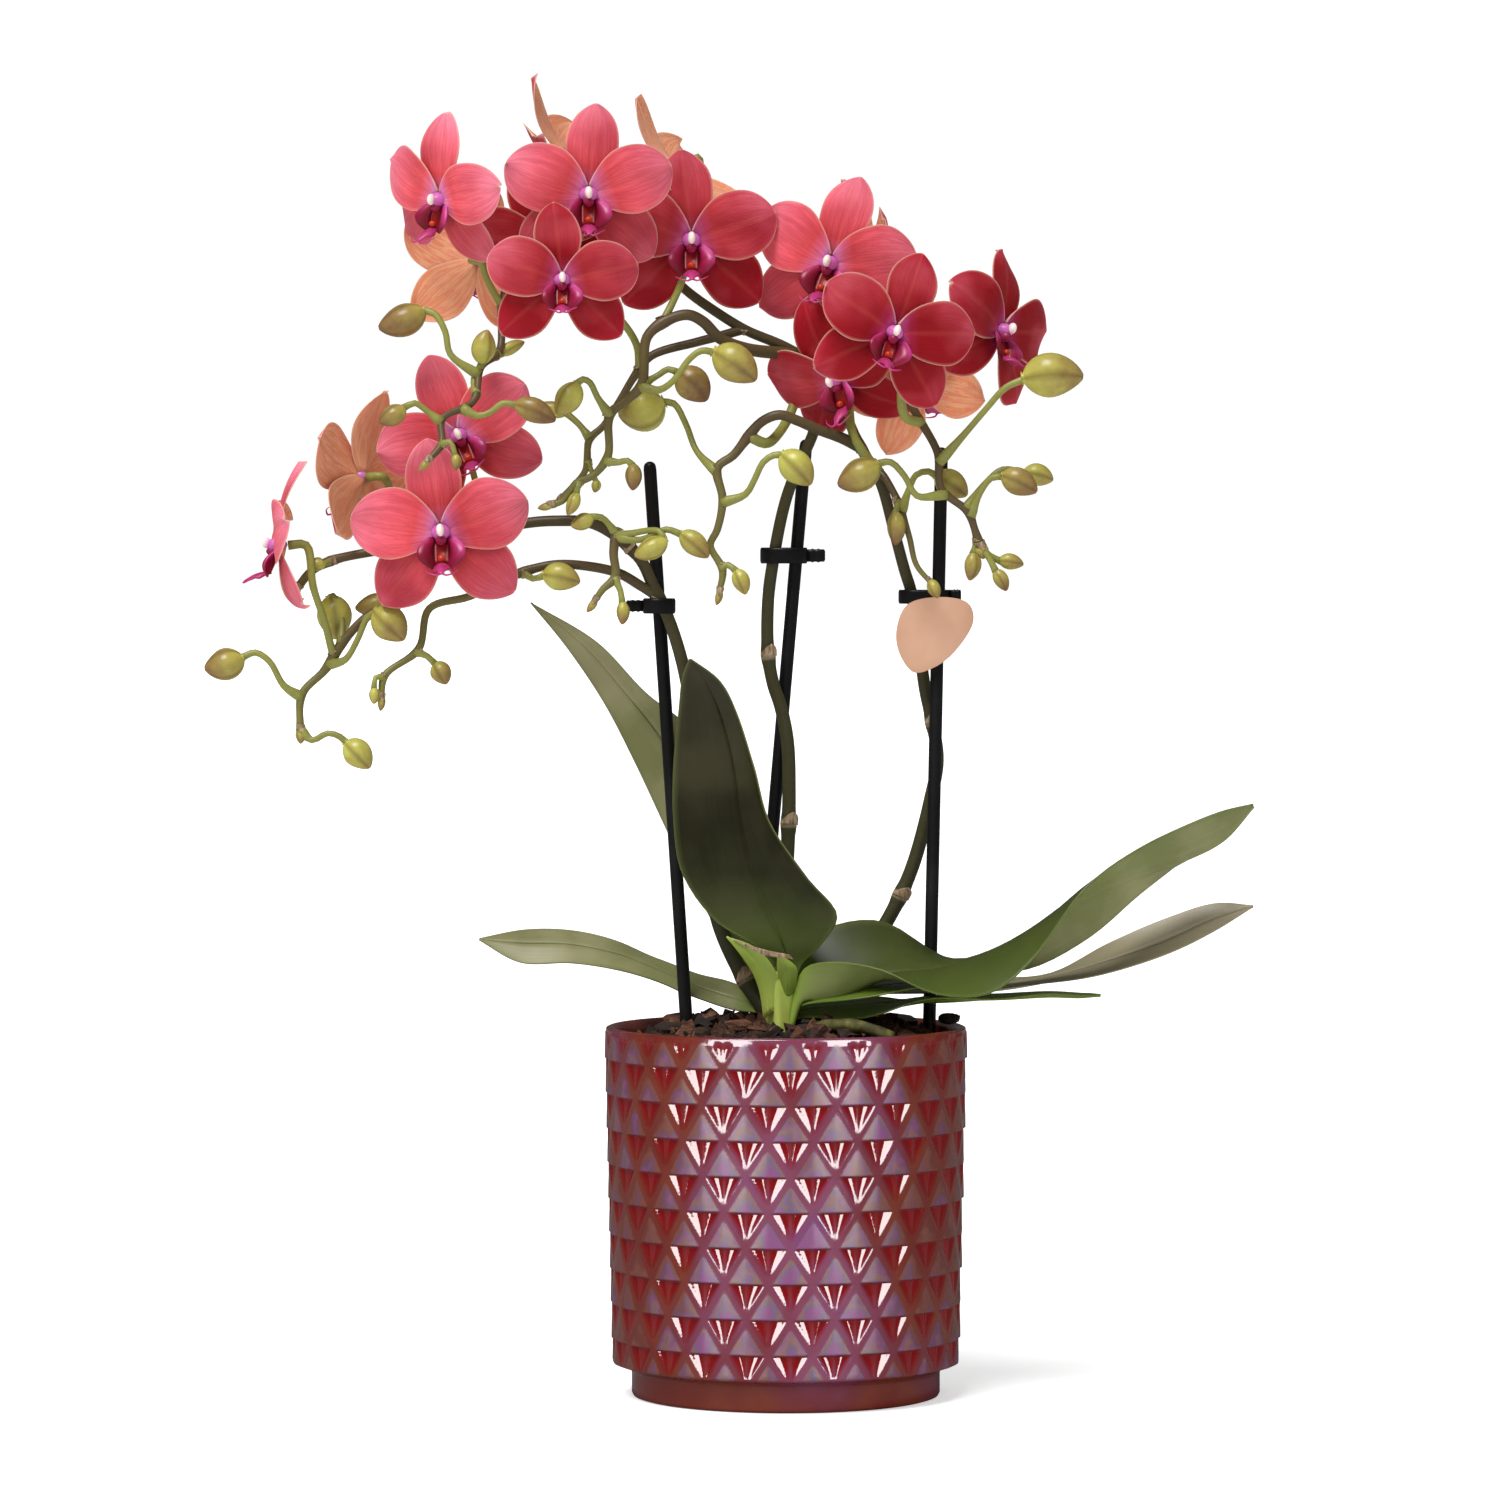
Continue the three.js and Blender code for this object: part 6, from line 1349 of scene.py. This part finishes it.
# %% [markdown]
# ## Bark, chips and a root
# Moth orchids grow in coarse pine bark. The bed is a lumpy block, and a Geometry Nodes tree
# scatters a few hundred small chips over its top: points at random on the upper part, one
# rough block on each, turned and scaled by chance from a fixed seed. The random tone of each
# chip is stored before the instances are realized, so that neighbours differ. The eight
# chips that stand out in the photograph are pieces of their own in the CAD and stay so here.

# %% Pine bark
bark, tree, surface, here = new_finish("pine_bark")
chip_tone = add(tree, PAINTED, attribute_name="chip_tone").outputs["Fac"]
# broken bark: matt corky layers about 1 mm thick, red brown inside and grey brown outside
flattened = add(tree, "ShaderNodeMapping", {0: here, 3: (1.0, 1.0, 3.0)})
layers = add(tree, NOISE, {"Vector": flattened, "Scale": 420.0, "Detail": 5.0, "Roughness": 0.65})
bark_mix = add(tree, MATH, [chip_tone, 0.45, add(tree, MATH, [layers, 0.6], "MULTIPLY")], "MULTIPLY_ADD")
fill(tree, surface, {
    "Base Color": add(tree, RAMP, [bark_mix], stops=[(0.15, "120D0A"), (0.38, "221712"), (0.54, "402619"),
                                                     (0.68, "603A28"), (0.85, "7C5A40")]),
    "Normal": add(tree, BUMP, {"Height": layers, "Strength": 0.7, "Distance": 0.8 * MM}),
    "Roughness": 0.85, "IOR": 1.45})

# %% The bed and its scattered chips
BED_PROFILE = [  # radius, height and lumpiness
    (10, 8.2, 0), (39.6, 8.2, 0), (40.6, 12, 0), (44.6, 90, 0), (44.2, 97, 0.3), (42.5, 99, 0.8),
    (39, 100.6, 1.2), (34, 102.2, 1.4), (27, 103.2, 1.4), (20, 103.8, 1.3), (12, 104, 1.0), (5, 104, 0.5)]
CHIP_SIZES = {"Chips per square metre": 52000.0, "Lowest height": 97.5 * MM, "Chip length": 8.0 * MM}
bed = Shells()
turns = full_turn(72)
bed.add(*loft([spun_ring(turns, r, z + lump * (np.sin(5 * turns + r) + np.sin(11 * turns - 0.6 * r)) / 2)
               for r, z, lump in BED_PROFILE]))

scatter, given = new_tree("scattered_chips", CHIP_SIZES)
height = add(scatter, "ShaderNodeSeparateXYZ", [add(scatter, "GeometryNodeInputPosition")]).outputs[2]
upper_part = add(scatter, "FunctionNodeCompare", [height, given["Lowest height"]], "GREATER_THAN",
                 data_type="FLOAT")
spots = add(scatter, "GeometryNodeDistributePointsOnFaces",
            {"Mesh": given["Geometry"], "Selection": upper_part, "Seed": 5,
             "Density": given["Chips per square metre"]})
chip_tones = add(scatter, "FunctionNodeRandomValue", {"Seed": 11}, data_type="FLOAT")
toned = add(scatter, "GeometryNodeStoreNamedAttribute",
            {"Geometry": spots, "Name": "chip_tone", "Value": chip_tones}, data_type="FLOAT", domain="POINT")
block = add(scatter, "GeometryNodeMeshCube",
            {"Size": (1.0, 0.62, 0.4), "Vertices X": 4, "Vertices Y": 3, "Vertices Z": 3})
rough = add(scatter, NOISE, {"Scale": 3.4, "Detail": 2.0}).outputs[1]
either_way = add(scatter, "ShaderNodeVectorMath", [rough, (0.5, 0.5, 0.5)], "SUBTRACT")
push = add(scatter, "ShaderNodeVectorMath", {0: either_way, "Scale": 0.9}, "SCALE")
broken = add(scatter, "GeometryNodeSetPosition", {"Geometry": block, "Offset": push})
low, high = (add(scatter, "ShaderNodeVectorMath", {0: shares, "Scale": given["Chip length"]}, "SCALE")
             for shares in ((0.55, 0.6, 0.5), (1.25, 1.2, 1.1)))
spin, sizes = (add(scatter, "FunctionNodeRandomValue", data_type="FLOAT_VECTOR",
                   inputs={"Min": least, "Max": most, "Seed": seed})
               for least, most, seed in (((-0.9, -0.9, 0.0), (0.9, 0.9, 6.28), 2), (low, high, 3)))
chips = add(scatter, "GeometryNodeInstanceOnPoints",
            {"Points": toned, "Instance": broken, "Rotation": spin, "Scale": sizes})
both = add(scatter, "GeometryNodeJoinGeometry", [chips])
fill(scatter, both, {0: given["Geometry"]})
solid = add(scatter, "GeometryNodeRealizeInstances", [both])
add(scatter, "NodeGroupOutput", [add(scatter, "GeometryNodeSetMaterial", {0: solid, "Material": bark})])
bed_mesh = apply_tree(bed, scatter, CHIP_SIZES)
tie_to_frame("bark_bed_with_chips", bed_mesh, "bark_bed", smooth=False)

# %% The eight larger chips and the root
def add_chip(shells, at, size, spin, tilt, whim):
    """A broken block of bark: a loft of lumpy rounded oblongs, turned into place."""
    long, wide, tall = (value / 2 for value in size)
    turn, lean = math.radians(spin), math.radians(tilt)
    turned = np.array([[math.cos(turn), -math.sin(turn), 0], [math.sin(turn), math.cos(turn), 0], [0, 0, 1]])
    tipped = np.array([[1, 0, 0], [0, math.cos(lean), -math.sin(lean)], [0, math.sin(lean), math.cos(lean)]])
    corners = full_turn(12)
    rings = []
    for place in (-1, -0.86, -0.4, 0.1, 0.55, 0.88, 1):
        reach = (1 - 0.5 * abs(place) ** 6) * np.array([whim.uniform(0.82, 1.08) for _ in corners])
        square = np.maximum(np.abs(np.cos(corners)), np.abs(np.sin(corners))) ** -0.7
        rings.append(ring(place * long, np.cos(corners) * square * wide * reach,
                          np.sin(corners) * square * tall * reach) @ (turned @ tipped).T + np.array(at))
    shells.add(*loft(rings), chip_tone=whim.random())


for number, chip in enumerate(CHIPS, start=1):
    shells = Shells()
    add_chip(shells, *chip, random.Random(40 + number))
    shells.piece(f"bark_chip_{number}_broken", [bark], f"bark_chip_{number}", smooth=False)

root_tissue, tree, surface, here = new_finish("root_velamen")
# the spongy skin of an air root: matt silver green, greener where it is wet
spongy = add(tree, NOISE, {"Vector": here, "Scale": 300.0, "Detail": 3.0})
fill(tree, surface, {
    "Base Color": add(tree, RAMP, [spongy], stops=[(0.3, "2C2A12"), (0.5, "46421E"), (0.7, "6A6830")]),
    "Roughness": 0.7, "IOR": 1.4})
shells = Shells()
thick, thin, route = AERIAL_ROOT
line = middle_line(route, 1.2)
share = np.linspace(0, 1, len(line))
shells.add(*tube(line, (thick + (thin - thick) * share) * (1 + 0.05 * np.sin(23 * share)), sides=16))
shells.piece("aerial_root_tube", [root_tissue], "aerial_root")

# %% [markdown]
# ## Clips and the hang tag
# A clip is a moulded band that snaps round a stake and a stem, with a small tab to press. It
# is lofted as a closed ring of rounded section. The tag is a bare piece of beige card with
# softly rounded corners. Nothing is printed on it here.

# %% Clips
BAND_WALL = 1.3
BAND_SECTION = [(0, -1), (0.5, -1), (0.85, -0.88), (1, -0.6), (1, 0.6), (0.85, 0.88), (0.5, 1), (0, 1),
                (-0.5, 1), (-0.85, 0.88), (-1, 0.6), (-1, -0.6), (-0.85, -0.88), (-0.5, -1)]
TAB_PLACES = [(-1, 0.7), (-0.9, 1.0), (-0.5, 1.0), (-0.3, 1.12), (-0.1, 1.0), (0.1, 1.0), (0.3, 1.12),
              (0.5, 1.0), (0.9, 1.0), (1, 0.7)]


def add_band(shells, at, size):
    """A band with an oblong round-ended plan, hollow in the middle, its edges rounded."""
    half = np.array(size, float) / 2
    end = min(half[0], half[1])
    spokes = 48
    grid = []
    for turn in full_turn(spokes):
        signs = np.sign([round(math.cos(turn), 6), round(math.sin(turn), 6)])
        stretch = np.array([half[0] - end, half[1] - end]) * signs
        for out, height in BAND_SECTION:
            reach = end - BAND_WALL / 2 + out * BAND_WALL / 2
            grid.append([at[0] + stretch[0] + reach * math.cos(turn),
                         at[1] + stretch[1] + reach * math.sin(turn), at[2] + height * half[2]])
    shells.add(grid, side_faces(spokes, len(BAND_SECTION), joined=True))


def add_tab(shells, at, size):
    """A small rounded plate with two finger ribs."""
    half = np.array(size, float) / 2
    turns = full_turn(24)
    square = np.maximum(np.abs(np.cos(turns)), np.abs(np.sin(turns))) ** -0.8
    shells.add(*loft([ring(at[0] + place * half[0], at[1] + half[1] * grow * np.cos(turns) * square,
                           at[2] + half[2] * grow * np.sin(turns) * square) for place, grow in TAB_PLACES]))


for name, (band_at, band_size, tab_at, tab_size) in CLIPS.items():
    shells = Shells()
    add_band(shells, band_at, band_size)
    add_tab(shells, tab_at, tab_size)
    shells.piece(name + "_band", [plastic], name)

# %% Hang tag
card, tree, surface, here = new_finish("uncoated_card")
# uncoated beige card: quite matt, with paper fibres under a millimetre long
fibre = add(tree, NOISE, {"Vector": here, "Scale": 1400.0, "Detail": 3.0})
mottle = add(tree, NOISE, {"Vector": here, "Scale": 80.0, "Detail": 2.0})
fill(tree, surface, {
    "Base Color": add(tree, RAMP, [mottle], stops=[(0.35, "C4967A"), (0.65, "D0A286")]),
    "Normal": add(tree, BUMP, {"Height": fibre, "Strength": 0.25, "Distance": 0.1 * MM}), "Roughness": 0.75})
# how far each ring lies inside the outline, and behind the front of the card
TAG_RINGS = [(8, 0), (0.25, 0), (0.08, 0.06), (0, 0.18), (0, 0.42), (0.08, 0.54), (0.25, 0.6), (8, 0.6)]
shells = Shells()
edge = curve([[x, 0, z] for x, z in TAG_OUTLINE], np.arange(90) / 90, closed=True)
centre = edge.mean(axis=0)
furthest = 0.6 * np.linalg.norm(centre - edge, axis=1)
rings = []
for inset, depth in TAG_RINGS:
    shrunk = edge + unit(centre - edge) * np.minimum(inset, furthest)[:, None]
    shrunk[:, 1] = TAG_FRONT + depth
    rings.append(shrunk)
shells.add(*loft(rings))
shells.piece("hang_tag_card", [card], "hang_tag")

# %% [markdown]
# ## Floor and light
# The plant stands on a pale floor under plain soft studio light. The floor is flat and large,
# so it looks the same from every side. The sky is an even white, a broad sun lamp gives the
# light a side, and two soft boxes stand low in front, left and right. Light linking keeps
# them to the glaze, whose sunk triangles mirror them as short bright strokes.

# %% Floor
FLOOR_HALF = 40.0
FLOOR_GLOW = 0.2
FLOOR_SEEN = 0.5
floor_mesh = bpy.data.meshes.new("floor")
floor_mesh.from_pydata([(x * FLOOR_HALF, y * FLOOR_HALF, 0) for x, y in ((-1, -1), (1, -1), (1, 1), (-1, 1))],
                       [], [(0, 1, 2, 3)])
floor = put_in_scene("floor", floor_mesh)
paper, tree, surface, here = new_finish("matt_white_paper")
paper_grain = add(tree, NOISE, {"Vector": here, "Scale": 3.0})
paper_colour = add(tree, RAMP, [paper_grain], stops=[(0.3, "FBFBFB"), (0.7, "FDFDFD")])
# the glaze mirrors a dim floor, as it would with a dark studio in front of it
rays = add(tree, "ShaderNodeLightPath").outputs
glow = add(tree, RANGE, {0: rays["Is Glossy Ray"], 3: FLOOR_GLOW, 4: 0.0})
fill(tree, surface, {
    "Base Color": add(tree, MIX, {0: rays["Is Glossy Ray"], 6: paper_colour, 7: linear("707070")},
                      data_type="RGBA"),
    "Emission Strength": add(tree, RANGE, {0: rays["Is Camera Ray"], 3: glow, 4: FLOOR_SEEN}),
    "Roughness": 0.6, "Emission Color": (1, 1, 1, 1)})
floor_mesh.materials.append(paper)
floor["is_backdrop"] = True

# %% Light, with its places in metres
SKY_LIGHT = 0.4
SKY_MIRRORED = 0.08
SKY_SEEN = 1.05
SUN_STRENGTH = 3.0
SUN_WIDTH = math.radians(30)
SOFT_BOX_WATTS = 12.0
world = bpy.data.worlds.new("white_sky")
bpy.context.scene.world = world
world.use_nodes = True
sky = world.node_tree
rays = add(sky, "ShaderNodeLightPath").outputs
lit = add(sky, RANGE, {0: rays["Is Glossy Ray"], 3: SKY_LIGHT, 4: SKY_MIRRORED})
strength = add(sky, RANGE, {0: rays["Is Camera Ray"], 3: lit, 4: SKY_SEEN})
fill(sky, sky.nodes["Background"], {"Color": (1.0, 1.0, 1.0, 1), "Strength": strength})


def lamp(name, kind, place, aim, **settings):
    data = bpy.data.lights.new(name, kind)
    for key, value in settings.items():
        setattr(data, key, value)
    made = put_in_scene(name, data)
    made.location = place
    x, y, z = np.array(aim, float) - np.array(place, float)
    made.rotation_euler = (math.atan2(math.hypot(x, y), -z), 0, math.atan2(y, x) - math.pi / 2)
    made.visible_camera = False
    return made


glossy = bpy.data.collections.new("lit_by_soft_boxes")
glossy.objects.link(pot_piece)
lamp("soft_sun", "SUN", (-0.9, -1.5, 2.9), (0, 0, 0), energy=SUN_STRENGTH, angle=SUN_WIDTH)
for hand, name in ((-1, "left_soft_box"), (1, "right_soft_box")):
    soft_box = lamp(name, "AREA", (hand * 0.62, -0.86, 0.4), (0, 0, 0.08), energy=SOFT_BOX_WATTS,
                    shape="RECTANGLE", size=0.52, size_y=0.62)
    soft_box.light_linking.receiver_collection = glossy
print("floor and light made")

# %% [markdown]
# ## The two boxes at the end
# Both boxes, of the looks and of the CAD model, are printed side by side in millimetres. The
# looks may not outgrow the CAD model.

# %% Sizes and finish
visual_box = [list(corner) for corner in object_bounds()]
for axis, low, high, cad_low, cad_high in zip("XYZ", *visual_box, *cad_box):
    print(axis, [round(v / MM, 1) for v in (low, high, cad_low, cad_high)])
